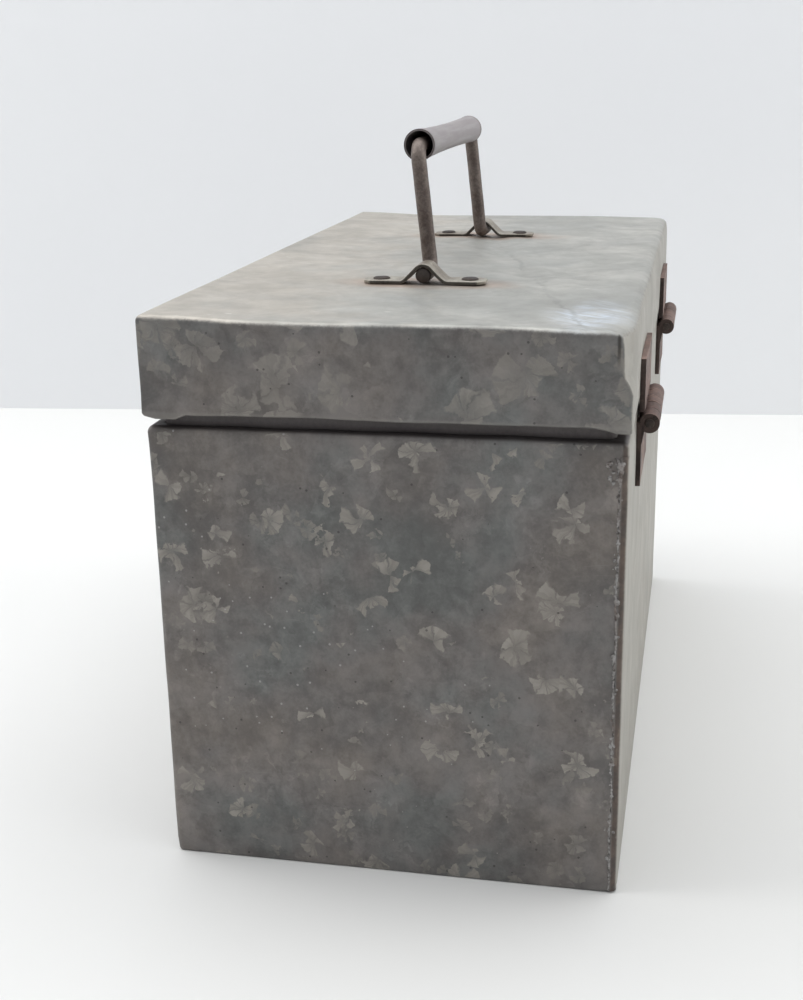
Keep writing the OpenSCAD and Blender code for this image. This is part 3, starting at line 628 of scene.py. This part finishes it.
class Nodes:
    """Short names for building a node tree."""

    def __init__(self, name):
        self.material = bpy.data.materials.new(name)
        self.material.use_nodes = True
        self.tree = self.material.node_tree
        self.tree.nodes.clear()
        self.bsdf = self.new("BsdfPrincipled")
        self.new("OutputMaterial", Surface=self.bsdf.outputs[0])
        coords = self.new("TexCoord")
        self.object = coords.outputs["Object"]
        self.normal = coords.outputs["Normal"]

    def set(self, node, key, value):
        if isinstance(value, bpy.types.NodeSocket):
            self.tree.links.new(value, node.inputs[key])
        else:
            node.inputs[key].default_value = value

    def new(self, kind, **inputs):
        """A node, with a link or a value for each input named."""
        node = self.tree.nodes.new("ShaderNode" + kind)
        for key, value in inputs.items():
            self.set(node, key, value)
        return node

    def math(self, op, a, b=0.0):
        node = self.new("Math")
        node.operation = op
        for i, v in enumerate((a, b)):
            self.set(node, i, v)
        return node.outputs[0]

    def add(self, a, b):
        return self.math("ADD", a, b)

    def sub(self, a, b):
        return self.math("SUBTRACT", a, b)

    def mul(self, a, b):
        return self.math("MULTIPLY", a, b)

    def abs(self, a):
        return self.math("ABSOLUTE", a)

    def vec(self, op, a, b=(0, 0, 0)):
        node = self.new("VectorMath")
        node.operation = op
        self.set(node, 0, a)
        if op == "SCALE":
            self.set(node, "Scale", b)
        else:
            self.set(node, 1, b)
        return node.outputs["Value"] if op in ("LENGTH", "DOT_PRODUCT") else node.outputs[0]

    def shift(self, vector, by):
        return self.vec("ADD", vector, by)

    def stretch(self, vector, factors):
        return self.vec("MULTIPLY", vector, factors)

    def oval(self, vector, centre, radii):
        """Distance from a centre, in radii of an ellipsoid."""
        return self.vec("LENGTH", self.vec("DIVIDE", self.vec("SUBTRACT", vector, centre), radii))

    def bend(self, vector, drift, amount):
        """The vector moved by a noise's colour, centred on zero."""
        centred = self.vec("SUBTRACT", drift, (0.5, 0.5, 0.5))
        return self.shift(vector, self.vec("SCALE", centred, amount))

    def noise(self, vector, scale, detail=3.0, rough=0.55, distort=0.0, output="Fac"):
        node = self.new("TexNoise", Vector=vector, Scale=scale, Detail=detail, Roughness=rough,
                        Distortion=distort)
        return node.outputs[output]

    def voronoi(self, vector, scale):
        return self.new("TexVoronoi", Vector=vector, Scale=scale)

    def split(self, vector):
        node = self.new("SeparateXYZ", Vector=vector)
        return node.outputs[0], node.outputs[1], node.outputs[2]

    def join(self, x, y, z):
        return self.new("CombineXYZ", X=x, Y=y, Z=z).outputs[0]

    def ramp(self, value, stops):
        node = self.new("ValToRGB", Fac=value)
        band = node.color_ramp
        while len(band.elements) < len(stops):
            band.elements.new(0.5)
        for element, (place, colour) in zip(band.elements, stops):
            element.position = place
            element.color = (*colour, 1)
        return node.outputs[0]

    def mix(self, factor, a, b, mode="MIX"):
        node = self.new("Mix")
        node.data_type = "RGBA"
        node.blend_type = mode
        self.set(node, 0, factor)
        for key, v in ((6, a), (7, b)):
            self.set(node, key, (*v, 1) if isinstance(v, tuple) else v)
        return node.outputs[2]

    def scaled(self, colour, gain):
        """The colour times a number."""
        return self.mix(1.0, colour, self.join(gain, gain, gain), "MULTIPLY")

    def white(self, value):
        node = self.new("TexWhiteNoise")
        node.noise_dimensions = "1D"
        self.set(node, "W", value)
        return node.outputs["Value"]

    def map(self, value, low, high, to_low=0.0, to_high=1.0):
        node = self.new("MapRange")
        node.interpolation_type = "SMOOTHSTEP"
        for key, v in enumerate((value, low, high, to_low, to_high)):
            self.set(node, key, v)
        return node.outputs[0]

    def bump(self, height, strength, distance, before=None):
        node = self.new("Bump", Strength=strength, Distance=distance, Height=height)
        if before is not None:
            self.set(node, "Normal", before)
        return node.outputs[0]

    def finish(self, colour, roughness, metallic, normal=None, specular=0.5):
        self.set(self.bsdf, "Base Color", colour)
        self.set(self.bsdf, "Roughness", roughness)
        self.set(self.bsdf, "Metallic", metallic)
        self.bsdf.inputs["Specular IOR Level"].default_value = specular
        if normal is not None:
            self.set(self.bsdf, "Normal", normal)
        return self.material


def crystals(n, scale, share, seed, patchy, petal_low, petal_high, wobble, soft, kept_over=0.22):
    """Bright spangle crystals: (mask, tone). Each is a fan of straight-edged petals round the seed
    point of a Voronoi cell, and the fans come in loose clusters.

    scale is cells a metre, share the part of the cells with a fan, and patchy the clusters a metre.
    Petals reach petal_low to petal_high of a cell. wobble bends them, soft (m) blurs their outline,
    and those with a tone under kept_over are left out."""
    moved = n.shift(n.object, (seed * 1.37, seed * 0.71, seed * 0.23))
    drift = n.noise(moved, scale * 2.4, 4.0, 0.6, output="Color")
    bent = n.bend(moved, drift, wobble / scale)
    cells = n.voronoi(bent, scale)
    cr, cg, cb = n.split(cells.outputs["Color"])
    away = n.vec("SUBTRACT", bent, cells.outputs["Position"])
    # The part of that vector in the plane of the sheet, and its direction there
    depth = n.vec("DOT_PRODUCT", away, n.normal)
    across = n.vec("SUBTRACT", away, n.vec("SCALE", n.normal, depth))
    ax, ay, az = n.split(across)
    _, _, nz = n.split(n.normal)
    first = n.add(az, n.mul(n.abs(nz), ax))
    angle = n.math("ARCTAN2", n.add(ax, ay), first)
    count = n.add(5.0, n.math("FLOOR", n.mul(cb, 5.0)))
    turned = n.mul(n.add(n.math("DIVIDE", angle, FULL_TURN), n.add(cg, 1.0)), count)
    petal = n.math("FLOOR", turned)
    swing = n.math("DIVIDE", n.mul(n.sub(n.math("FRACT", turned), 0.5), FULL_TURN), count)
    key = n.add(petal, n.mul(cr, 97.0))
    size, tone = n.white(key), n.white(n.add(key, 31.7))
    reach = n.mul(n.vec("LENGTH", across), n.math("COSINE", n.mul(swing, 0.8)))
    limit = n.mul(n.add(petal_low, n.mul(size, petal_high - petal_low)), 1 / scale)
    inside = n.map(n.sub(reach, limit), soft, -soft)
    cluster = n.noise(moved, patchy, 1.0)
    chance = n.add(cr, n.mul(n.sub(cluster, 0.5), 1.3))
    close = n.math("LESS_THAN", n.abs(depth), 0.45 / scale)
    lit = n.mul(n.math("GREATER_THAN", chance, 1.0 - share), close)
    kept = n.math("GREATER_THAN", tone, kept_over)
    # Fine feather lines run out from the seed point
    quill = n.white(n.add(n.math("FLOOR", n.mul(turned, 7.0)), key))
    tone = n.add(n.mul(tone, 0.58), n.mul(quill, 0.42))
    # A petal is brightest towards its outer edge, and a dark line parts it from the next
    spread = n.map(n.math("DIVIDE", reach, limit), 0.05, 0.85, 0.42, 1.0)
    off_axis = n.abs(n.sub(n.math("FRACT", turned), 0.5))
    parting = n.map(off_axis, 0.38, 0.48, 1.0, 0.30)
    lit = n.mul(n.mul(lit, kept), n.mul(spread, parting))
    return n.mul(lit, inside), tone


def spangle(n, kind, colour):
    """Adds three layers of crystals, and also gives the first layer's mask and tone."""
    if kind == "lid":
        m1, t1 = crystals(n, 54, 0.46, 3.0, 26, 0.28, 0.64, 0.5, 0.0005)
        m2, t2 = crystals(n, 110, 0.14, 2.0, 26, 0.25, 0.6, 0.4, 0.0004)
        m3, t3 = crystals(n, 44, 0.66, 9.0, 20, 0.25, 0.70, 0.5, 0.0006)
    else:
        m1, t1 = crystals(n, 52, 0.48, 5.0, 15, 0.10, 0.40, 0.38, 0.0002, 0.3)
        m2, t2 = crystals(n, 105, 0.22, 2.0, 24, 0.18, 0.50, 0.38, 0.0002, 0.3)
        m3, t3 = crystals(n, 40, 0.60, 9.0, 20, 0.20, 0.60, 0.80, 0.0005, 0.2)
    # The third layer is only just paler or darker than the ground
    shade = n.add(1.0, n.mul(m3, n.map(t3, 0.0, 1.0, -0.16, 0.20)))
    colour = n.scaled(colour, shade)
    bright = n.mix(t1, (0.200, 0.187, 0.168), (0.345, 0.324, 0.290))
    colour = n.mix(n.mul(m1, 0.9 if kind == "base" else 0.62), colour, bright)
    small = n.mix(t2, (0.20, 0.187, 0.168), (0.300, 0.282, 0.253))
    return n.mix(n.mul(m2, 0.7), colour, small), m1, t1


def specks_and_scratches(n, colour):
    """Adds white specks, dark pits and fine scratches, and also gives the pits' mask and the noise
    that bends the scratches."""
    flat = n.object
    specks = n.voronoi(flat, 420)
    sr, sg, _ = n.split(specks.outputs["Color"])
    dot = n.math("LESS_THAN", specks.outputs["Distance"], 0.2)
    white = n.mul(dot, n.math("GREATER_THAN", sr, 0.972))
    pit = n.mul(dot, n.math("GREATER_THAN", sg, 0.955))
    colour = n.mix(n.mul(white, 0.6), colour, (0.42, 0.41, 0.40))
    colour = n.mix(n.mul(pit, 0.6), colour, (0.05, 0.047, 0.045))
    scratched = n.stretch(flat, (1.0, 0.25, 1.0))
    twist = n.noise(flat, 9, 2.0, output="Color")
    scratched = n.shift(scratched, n.vec("SCALE", twist, 0.12))
    lines = n.noise(n.stretch(scratched, (40.0, 30.0, 620.0)), 1.0, 3.0, 0.7)
    hair = n.map(lines, 0.69, 0.74)
    return n.mix(n.mul(hair, 0.22), colour, (0.30, 0.29, 0.28)), pit, twist


def lid_top(n, x, y, broad, middle, fine, twist):
    """Colour of the lid's top, paler than the sides as painted light, with weathering, stains and
    scratches on it. broad, middle, fine and twist are noises it shares.
    """
    flat = n.object
    stain = n.noise(flat, 34, 4.0, 0.6, 0.8)
    # Paler and greener than the sides, a painted light from above, with beige weathering towards the
    # front and rust round the brackets
    lit_top_tone = n.mix(n.map(broad, 0.35, 0.65), (0.355, 0.358, 0.340), (0.465, 0.457, 0.425))
    patchy = n.mix(n.map(middle, 0.3, 0.72), lit_top_tone, (0.365, 0.362, 0.340))
    beige = n.map(n.sub(n.mul(stain, 0.16), y), 0.06, 0.15)
    patchy = n.mix(n.mul(beige, 0.55), patchy, (0.46, 0.412, 0.355))
    for node in ("saddle_bracket_near", "saddle_bracket_far"):
        centre, half, _, _ = span(node)
        away = n.oval(flat, tuple(centre), (half.x * 2.1, half.y * 1.3, 1.0))
        ring = n.map(n.add(away, n.mul(stain, 0.9)), 1.15, 1.9, 1.0, 0.0)
        patchy = n.mix(n.mul(ring, 0.55), patchy, (0.36, 0.235, 0.165))
    # Freshly scraped zinc near the hinge-side corner
    middle_of_zinc = (lid_half.x - 31 * MM, lid_half.y - 19 * MM, TOP_Z)
    zinc = n.oval(flat, middle_of_zinc, (34 * MM, 16 * MM, 1.0))
    zinc = n.map(n.add(zinc, stain), 0.9, 1.7, 1.0, 0.0)
    scraped = n.join(n.add(n.mul(x, 60.0), n.mul(y, 30.0)), n.sub(n.mul(y, 260.0), n.mul(x, 300.0)), 0.0)
    scrapes = n.noise(scraped, 1.0, 3.0, 0.6, 0.8)
    zinc = n.mul(zinc, n.map(scrapes, 0.38, 0.62, 0.25, 1.0))
    patchy = n.mix(n.mul(zinc, 0.75), patchy, (0.60, 0.66, 0.74))
    # Fine scores in three directions
    turned = n.shift(flat, n.vec("SCALE", twist, 0.10))
    for angle, amount in ((0.35, 0.10), (1.15, 0.12), (-0.5, 0.10)):
        tx, ty, _ = n.split(turned)
        run = n.add(n.mul(tx, math.cos(angle)), n.mul(ty, math.sin(angle)))
        off = n.sub(n.mul(ty, math.cos(angle)), n.mul(tx, math.sin(angle)))
        scores = n.noise(n.join(n.mul(run, 22.0), n.mul(off, 420.0), 3.0 * angle), 1.0, 3.0, 0.6)
        patchy = n.mix(n.mul(n.map(scores, 0.68, 0.76), amount), patchy, (0.60, 0.60, 0.58))
    # Dark smudges and wiped patches
    smudge = n.noise(n.shift(flat, (5.0, 2.0, 0.0)), 11, 3.0, 0.5, 0.4)
    patchy = n.mix(n.mul(n.map(smudge, 0.5, 0.68), 0.40), patchy, (0.30, 0.302, 0.285))
    smear = n.noise(n.join(n.mul(x, 55.0), n.mul(y, 22.0), 0.0), 1.0, 4.0, 0.6, 1.6)
    wiped = n.noise(n.shift(flat, (1.0, 7.0, 0.0)), 26, 4.0, 0.6, 1.4)
    top_gain = n.mul(n.map(fine, 0.25, 0.75, 0.95, 1.05), n.map(smear, 0.3, 0.7, 0.96, 1.04))
    top_gain = n.mul(top_gain, n.map(wiped, 0.34, 0.66, 0.92, 1.07))
    # Thin dark line along the crease, and pale rubbed flecks
    cos_c, sin_c = math.cos(CREASE_TURN), math.sin(CREASE_TURN)
    off_crease = n.add(n.mul(n.sub(y, CREASE_FROM[1]), cos_c), n.mul(n.sub(x, CREASE_FROM[0]), -sin_c))
    off_crease = n.abs(n.add(off_crease, n.mul(n.sub(middle, 0.5), 0.012)))
    crease = n.mul(n.map(off_crease, 0.2 * MM, 1.6 * MM, 1.0, 0.0), n.map(stain, 0.4, 0.6))
    patchy = n.mix(n.mul(crease, 0.35), patchy, (0.22, 0.22, 0.21))
    drawn_out = n.stretch(n.shift(flat, n.vec("SCALE", twist, 0.05)), (300.0, 90.0, 1.0))
    flecks = n.noise(drawn_out, 1.0, 2.0)
    rubbed = n.mul(n.map(flecks, 0.66, 0.72), n.map(wiped, 0.5, 0.62))
    patchy = n.mix(n.mul(rubbed, 0.5), patchy, (0.62, 0.61, 0.58))
    return n.scaled(patchy, top_gain)


def lid_edges(n, colour, y, z, nx):
    """Adds the marks on the lid's near end and lower edge."""
    # Dark split at the top of the folded near corner
    slit = n.map(n.abs(n.sub(y, lid_half.y - 5.6 * MM)), 0.2 * MM, 0.9 * MM, 1.0, 0.0)
    slit = n.mul(slit, n.map(z, TOP_Z - 16 * MM, TOP_Z - 7 * MM))
    slit = n.mul(slit, n.map(nx, 0.5, 0.9))
    colour = n.mix(n.mul(slit, 0.75), colour, (0.045, 0.038, 0.034))
    # Lower edge: the roll is rubbed bright
    rub = n.map(z, LID_Z + 1.8 * MM, LID_Z + 0.3 * MM)
    return n.mix(n.mul(rub, 0.35), colour, (0.27, 0.26, 0.24))


def seam_and_shoulder(n, colour, x, y, z):
    """Adds the brown line beside the back panel's flange, and painted shade on the shoulder's top under
    the lid's skirt.
    """
    edge_y = n.sub(BASE_HY - LAP_W + LAP_EDGE, y)
    strip = n.map(edge_y, -0.3 * MM, -1.2 * MM)
    strip = n.mul(strip, n.map(n.abs(x), BASE_HX - 1.2 * MM, BASE_HX - 0.4 * MM))
    rusty = n.noise(n.object, 120, 4.0, 0.7)
    brown = n.mix(n.map(rusty, 0.35, 0.65), (0.055, 0.042, 0.036), (0.125, 0.085, 0.066))
    colour = n.mix(n.mul(strip, 0.7), colour, brown)
    # Painted shade: the top of the shoulder is darkened where the lid hangs over it
    lip = n.map(z, SHOULDER_Z - 1.4 * MM, SHOULDER_Z - 0.1 * MM)
    return n.mix(n.mul(lip, 0.75), colour, (0.075, 0.062, 0.062))


def galvanised(name, kind):
    """Weathered zinc-coated sheet, with painted light on the lid's top and on the hinge side, and
    painted shade on the base's shoulder. kind is base, lid or plain.
    """
    n = Nodes(name)
    flat = n.object
    x, y, z = n.split(flat)
    nx, ny, nz = n.split(n.normal)
    broad = n.noise(flat, 14, 3.0, 0.6)
    middle = n.noise(flat, 48, 4.0, 0.6, 0.5)
    fine = n.noise(flat, 190, 4.0, 0.65)
    grain = n.noise(flat, 900, 2.0, 0.7)
    hue = n.noise(n.shift(flat, (3.0, 1.0, 2.0)), 24, 3.0)
    dull = n.ramp(hue, [(0.36, (0.166, 0.168, 0.163)), (0.5, (0.187, 0.175, 0.168)),
                        (0.66, (0.208, 0.188, 0.173))])
    tone = n.add(n.mul(broad, 0.40), n.mul(middle, 0.75))
    tone = n.add(tone, n.mul(fine, 0.47))
    tone = n.add(tone, n.mul(grain, 0.16))
    gain = n.map(tone, 0.66, 1.12, 0.70, 1.22)
    colour = n.scaled(dull, gain)
    # Low-contrast cells cover the whole sheet
    drift = n.noise(flat, 130, 2.0, output="Color")
    bent = n.bend(flat, drift, 8 * MM)
    faint = n.voronoi(bent, 95 if kind != "lid" else 62)
    fr, _, _ = n.split(faint.outputs["Color"])
    faint_gain = n.map(fr, 0.0, 1.0, 0.95, 1.06)
    colour = n.scaled(colour, faint_gain)
    colour, m1, t1 = spangle(n, kind, colour)
    colour, pit, twist = specks_and_scratches(n, colour)
    roughness = n.add(n.map(middle, 0.3, 0.7, 0.50, 0.62), n.mul(m1, -0.06))
    # A speckled boundary where faces turn up or towards the hinges: there the painted light of the top
    # and of the hinge side begins
    speckle = n.sub(n.add(n.mul(grain, 0.40), n.mul(fine, 0.08)), 0.24)
    up = n.map(n.add(nz, speckle), 0.36, 0.84)
    if kind == "lid":
        patchy = lid_top(n, x, y, broad, middle, fine, twist)
        # Faces turned up take the top's colour, paler as painted light
        colour = n.mix(up, colour, patchy)
        colour = lid_edges(n, colour, y, z, nx)
    if kind != "plain":
        # The hinge side is painted as pale as the top: painted light and reflection on the faces towards
        # the hinges
        hinge_side_light = n.map(n.add(ny, speckle), 0.60, 0.95)
        drawn = n.noise(n.stretch(flat, (42.0, 42.0, 26.0)), 1.0, 4.0, 0.6, 0.8)
        pale = n.mix(n.map(drawn, 0.3, 0.7), (0.368, 0.352, 0.314), (0.442, 0.425, 0.382))
        colour = n.mix(n.mul(hinge_side_light, 0.80), colour, pale)
    if kind == "base":
        colour = seam_and_shoulder(n, colour, x, y, z)
    high = n.add(n.mul(fine, 0.5), n.mul(grain, 0.5))
    normal = n.bump(high, 0.16, 0.0004)
    normal = n.bump(n.add(n.mul(m1, t1), n.mul(pit, -1.5)), 0.12, 0.0003, normal)
    return n.finish(colour, roughness, 0.68, normal)


def steel(name, dark, light, rough_low, rough_high, metallic, scale=120.0, x_face_shade=1.0, tip_x=None):
    """Plain steel with mottled oxide, pits, and edges that wear. A shade factor below 1 darkens the
    faces along X as painted shade, and tip_x is where a rod ends, to darken its tips."""
    n = Nodes(name)
    flat = n.object
    broad = n.noise(flat, scale * 0.35, 3.0)
    fine = n.noise(flat, scale * 2.2, 5.0, 0.7)
    speck = n.noise(flat, scale * 9, 2.0, 0.7)
    mixed = n.add(n.mul(broad, 0.5), n.mul(fine, 0.5))
    colour = n.mix(n.map(mixed, 0.36, 0.64), dark, light)
    gain = n.map(speck, 0.3, 0.7, 0.8, 1.2)
    colour = n.scaled(colour, gain)
    geometry = n.new("NewGeometry")
    worn = n.map(n.add(geometry.outputs["Pointiness"], n.mul(fine, 0.06)), 0.545, 0.60)
    colour = n.mix(n.mul(worn, 0.45), colour, tuple(min(1, c * 1.7) for c in light))
    # Painted shade: faces turned along X, the ends of a part, are darkened by a fixed factor
    if x_face_shade < 1:
        nx, _, _ = n.split(n.normal)
        shade = n.map(n.abs(nx), 0.6, 0.85, 1.0, x_face_shade)
        colour = n.scaled(colour, shade)
    if tip_x is not None:
        x, _, _ = n.split(flat)
        tip = n.map(n.abs(x), tip_x - 0.9 * MM, tip_x - 0.3 * MM, 1.0, 0.3)
        colour = n.scaled(colour, tip)
    roughness = n.map(fine, 0.3, 0.7, rough_low, rough_high)
    normal = n.bump(fine, 0.25, 0.0003)
    normal = n.bump(speck, 0.2, 0.00015, normal)
    return n.finish(colour, roughness, metallic, normal)


def tube_zinc(name):
    n = Nodes(name)
    flat = n.object
    cloud = n.noise(flat, 55, 4.0, 0.6)
    fine = n.noise(flat, 380, 4.0, 0.7)
    lines = n.noise(n.stretch(flat, (18.0, 320.0, 320.0)), 1.0, 4.0, 0.6)
    x, _, _ = n.split(flat)
    colour = n.mix(n.map(cloud, 0.3, 0.7), (0.255, 0.225, 0.232), (0.345, 0.32, 0.318))
    colour = n.mix(n.mul(n.map(lines, 0.45, 0.7), 0.35), colour, (0.47, 0.45, 0.455))
    ends = n.map(n.abs(x), span("grip_tube")[3].x - 4 * MM, span("grip_tube")[3].x - 0.5 * MM)
    colour = n.mix(n.mul(ends, 0.55), colour, (0.13, 0.105, 0.098))
    roughness = n.map(cloud, 0.3, 0.7, 0.42, 0.58)
    return n.finish(colour, roughness, 0.6, n.bump(fine, 0.2, 0.0002))


def millboard(name):
    n = Nodes(name)
    flat = n.object
    fibres = n.noise(n.stretch(flat, (260.0, 260.0, 900.0)), 1.0, 5.0, 0.7, 0.6)
    cloud = n.noise(flat, 40, 3.0)
    colour = n.mix(n.map(fibres, 0.3, 0.7), (0.40, 0.37, 0.32), (0.62, 0.59, 0.53))
    colour = n.mix(n.mul(n.map(cloud, 0.4, 0.7), 0.3), colour, (0.36, 0.31, 0.25))
    return n.finish(colour, n.map(fibres, 0.2, 0.8, 0.85, 0.97), 0.0, n.bump(fibres, 0.5, 0.0005))


def solder_metal(name):
    n = Nodes(name)
    flat = n.object
    lumps = n.noise(flat, 420, 4.0, 0.7)
    cloud = n.noise(flat, 90, 3.0)
    colour = n.mix(n.map(lumps, 0.34, 0.60), (0.075, 0.066, 0.062), (0.34, 0.33, 0.32))
    colour = n.mix(n.mul(n.map(cloud, 0.5, 0.66), 0.55), colour, (0.12, 0.075, 0.055))
    return n.finish(colour, n.map(lumps, 0.3, 0.7, 0.75, 0.4), 0.35, n.bump(lumps, 0.6, 0.0005))


def plain_matte(name, low, high, scale, roughness):
    n = Nodes(name)
    soft = n.noise(n.object, scale, 2.0)
    return n.finish(n.mix(n.map(soft, 0.3, 0.7), low, high), roughness, 0.0, specular=0.25)


GALV_BASE = galvanised("galvanised_base", "base")
GALV_LID = galvanised("galvanised_lid", "lid")
GALV_PLAIN = galvanised("galvanised_plain", "plain")
# The rim collar's dark sheet is painted shade: it stands in for the shade in the gap under the lid
RIM_SHADE = steel("rim_shade_sheet", (0.040, 0.034, 0.036), (0.105, 0.094, 0.092), 0.55, 0.75, 0.4, 60.0)
RUSTY = steel("rusty_steel", (0.105, 0.066, 0.056), (0.250, 0.172, 0.146), 0.55, 0.8, 0.35,
              x_face_shade=0.26)
BRACKET = steel("bracket_steel", (0.190, 0.160, 0.130), (0.400, 0.380, 0.330), 0.42, 0.65, 0.55,
                x_face_shade=0.26)
DARK = steel("dark_steel", (0.035, 0.027, 0.024), (0.095, 0.072, 0.060), 0.4, 0.65, 0.5)
HANDLE = steel("handle_steel", (0.096, 0.072, 0.062), (0.190, 0.158, 0.140), 0.38, 0.55, 0.5, 90.0,
               tip_x=span("handle_rod")[3].x)
RIVET = steel("rivet_steel", (0.022, 0.017, 0.016), (0.060, 0.046, 0.040), 0.55, 0.78, 0.3)
ZINC = tube_zinc("zinc_tube")
BOARD = millboard("millboard")
SOLDER = solder_metal("solder")

# ---- Build the pieces ----

build_lid(GALV_LID)
build_base(GALV_BASE)
build_laps(GALV_BASE)
build_solder(SOLDER)
build_handle(HANDLE)
build_grip(ZINC)

# Nodes, body, slot, material, bevel and roughness in mm
WORN = [
    ("hinge_base_leaf_near hinge_base_leaf_far", "base", "rusty_steel", RUSTY, 0.35, 0.06),
    ("hinge_lid_leaf_near hinge_lid_leaf_far", "lid", "rusty_steel", RUSTY, 0.35, 0.06),
    ("hinge_pin_near hinge_pin_far", "base", "dark_steel", DARK, 0.35, 0.03),
    ("base_hinge_rivets", "base", "dark_steel", DARK, 0.2, 0.03),
    ("lid_hinge_rivets", "lid", "dark_steel", DARK, 0.2, 0.03),
    ("saddle_bracket_near saddle_bracket_far", "lid", "bracket_steel", BRACKET, 0.4, 0.07),
    ("bracket_rivets", "lid", "dark_steel", RIVET, 0.25, 0.05),
    ("hasp_plate", "base", "rusty_steel", RUSTY, 0.3, 0.05),
    ("hasp_pin", "base", "dark_steel", DARK, 0.25, 0.02),
    ("hasp_plate_rivets", "base", "dark_steel", DARK, 0.2, 0.02),
    ("hasp_strap", "hasp", "rusty_steel", RUSTY, 0.4, 0.05),
    ("hasp_staple", "lid", "rusty_steel", RUSTY, 0.35, 0.05),
    ("staple_rivets", "lid", "dark_steel", DARK, 0.2, 0.02),
]
seed = 0
for nodes, body, slot, material, bevel, rough in WORN:
    for node in nodes.split():
        worn_copy(node, node + "_worn", body, material, bevel * MM, rough * MM, seed, 2.5 * MM)
        seed += 1

# What lies under the lid's sheet follows its dents
worn_copy("lid_liner", "lid_liner_worn", "lid", GALV_PLAIN, 0.1 * MM, 0, 40,
          8 * MM, lid_field)
worn_copy("insulation_lid", "insulation_lid_worn", "lid", BOARD, 0.5 * MM, 0, 41,
          12 * MM, lid_field, 2.4 * MM)

# Hidden nodes keep their CAD shape
# rim_collar takes the dark sheet that is painted shade for the gap under the lid
PAINTED = {"base_bottom": GALV_PLAIN, "rim_collar": RIM_SHADE, "inner_liner": GALV_PLAIN}
for place in ("front", "back", "end_near", "end_far", "bottom"):
    PAINTED["insulation_" + place] = BOARD
for node, material in PAINTED.items():
    mesh = frame["nodes"][node].data
    mesh.materials.clear()
    mesh.materials.append(material)

# ---- Camera, light and surroundings ----

LENS_MM = 50.85
camera_data = bpy.data.cameras.new("camera")
camera = linked("camera", camera_data)
camera_data.lens = LENS_MM
CAMERA_AT = Vector((0.6679, 0.1138, 0.3152))
AIM_AT = Vector((0.0084, -0.0291, 0.1034))
ROLL = math.radians(-1.1)
look = (AIM_AT - CAMERA_AT).to_track_quat("-Z", "Y").to_matrix().to_4x4()
camera.matrix_world = Matrix.Translation(CAMERA_AT) @ look @ Matrix.Rotation(ROLL, 4, "Z")
bpy.context.scene.camera = camera


def plane(name, corners, material):
    mesh = bpy.data.meshes.new(name)
    mesh.from_pydata(corners, [], [(0, 1, 2, 3)])
    mesh.materials.append(material)
    obj = linked(name, mesh)


FLOOR = plain_matte("floor", (0.760, 0.760, 0.748), (0.780, 0.780, 0.768), 2.0, 0.7)
WALL = plain_matte("wall", (0.83, 0.84, 0.86), (0.85, 0.86, 0.875), 1.5, 0.9)
# The backdrop stands behind the far end, turned a little: its x at each side of the scene
WALL_LEFT, WALL_RIGHT = -0.305, -0.890
REACH = 3
plane("floor", [(WALL_LEFT, -REACH, 0), (REACH, -REACH, 0),
                (REACH, REACH, 0), (WALL_RIGHT, REACH, 0)], FLOOR)
plane("backdrop", [(WALL_LEFT, -REACH, 0), (WALL_RIGHT, REACH, 0),
                   (WALL_RIGHT, REACH, REACH), (WALL_LEFT, -REACH, REACH)], WALL)


def area_light(name, at, aim, size, power, colour):
    data = bpy.data.lights.new(name, "AREA")
    data.shape = "RECTANGLE"
    data.size, data.size_y = size
    data.energy = power
    data.color = colour
    obj = linked(name, data)
    obj.location = at
    obj.rotation_euler = (Vector(aim) - Vector(at)).to_track_quat("-Z", "Y").to_euler()


area_light("window", (-0.1, -1.5, 1.5), (-0.1, 0, 0.1), (1.6, 1.4), 19, (1.0, 0.99, 0.97))
area_light("ceiling", (-0.2, 0.0, 1.9), (-0.2, 0, 0), (1.6, 2.4), 27, (0.98, 0.99, 1.0))
area_light("bounce", (-0.5, 1.6, 0.9), (-0.1, 0, 0.1), (1.4, 1.4), 12, (1.0, 0.99, 0.95))
world = bpy.data.worlds.new("world")
bpy.context.scene.world = world
world.use_nodes = True
sky = world.node_tree.nodes["Background"]
sky.inputs["Color"].default_value = (0.95, 0.97, 1.0, 1)
sky.inputs["Strength"].default_value = 0.52
bpy.context.scene.view_settings.view_transform = "Standard"
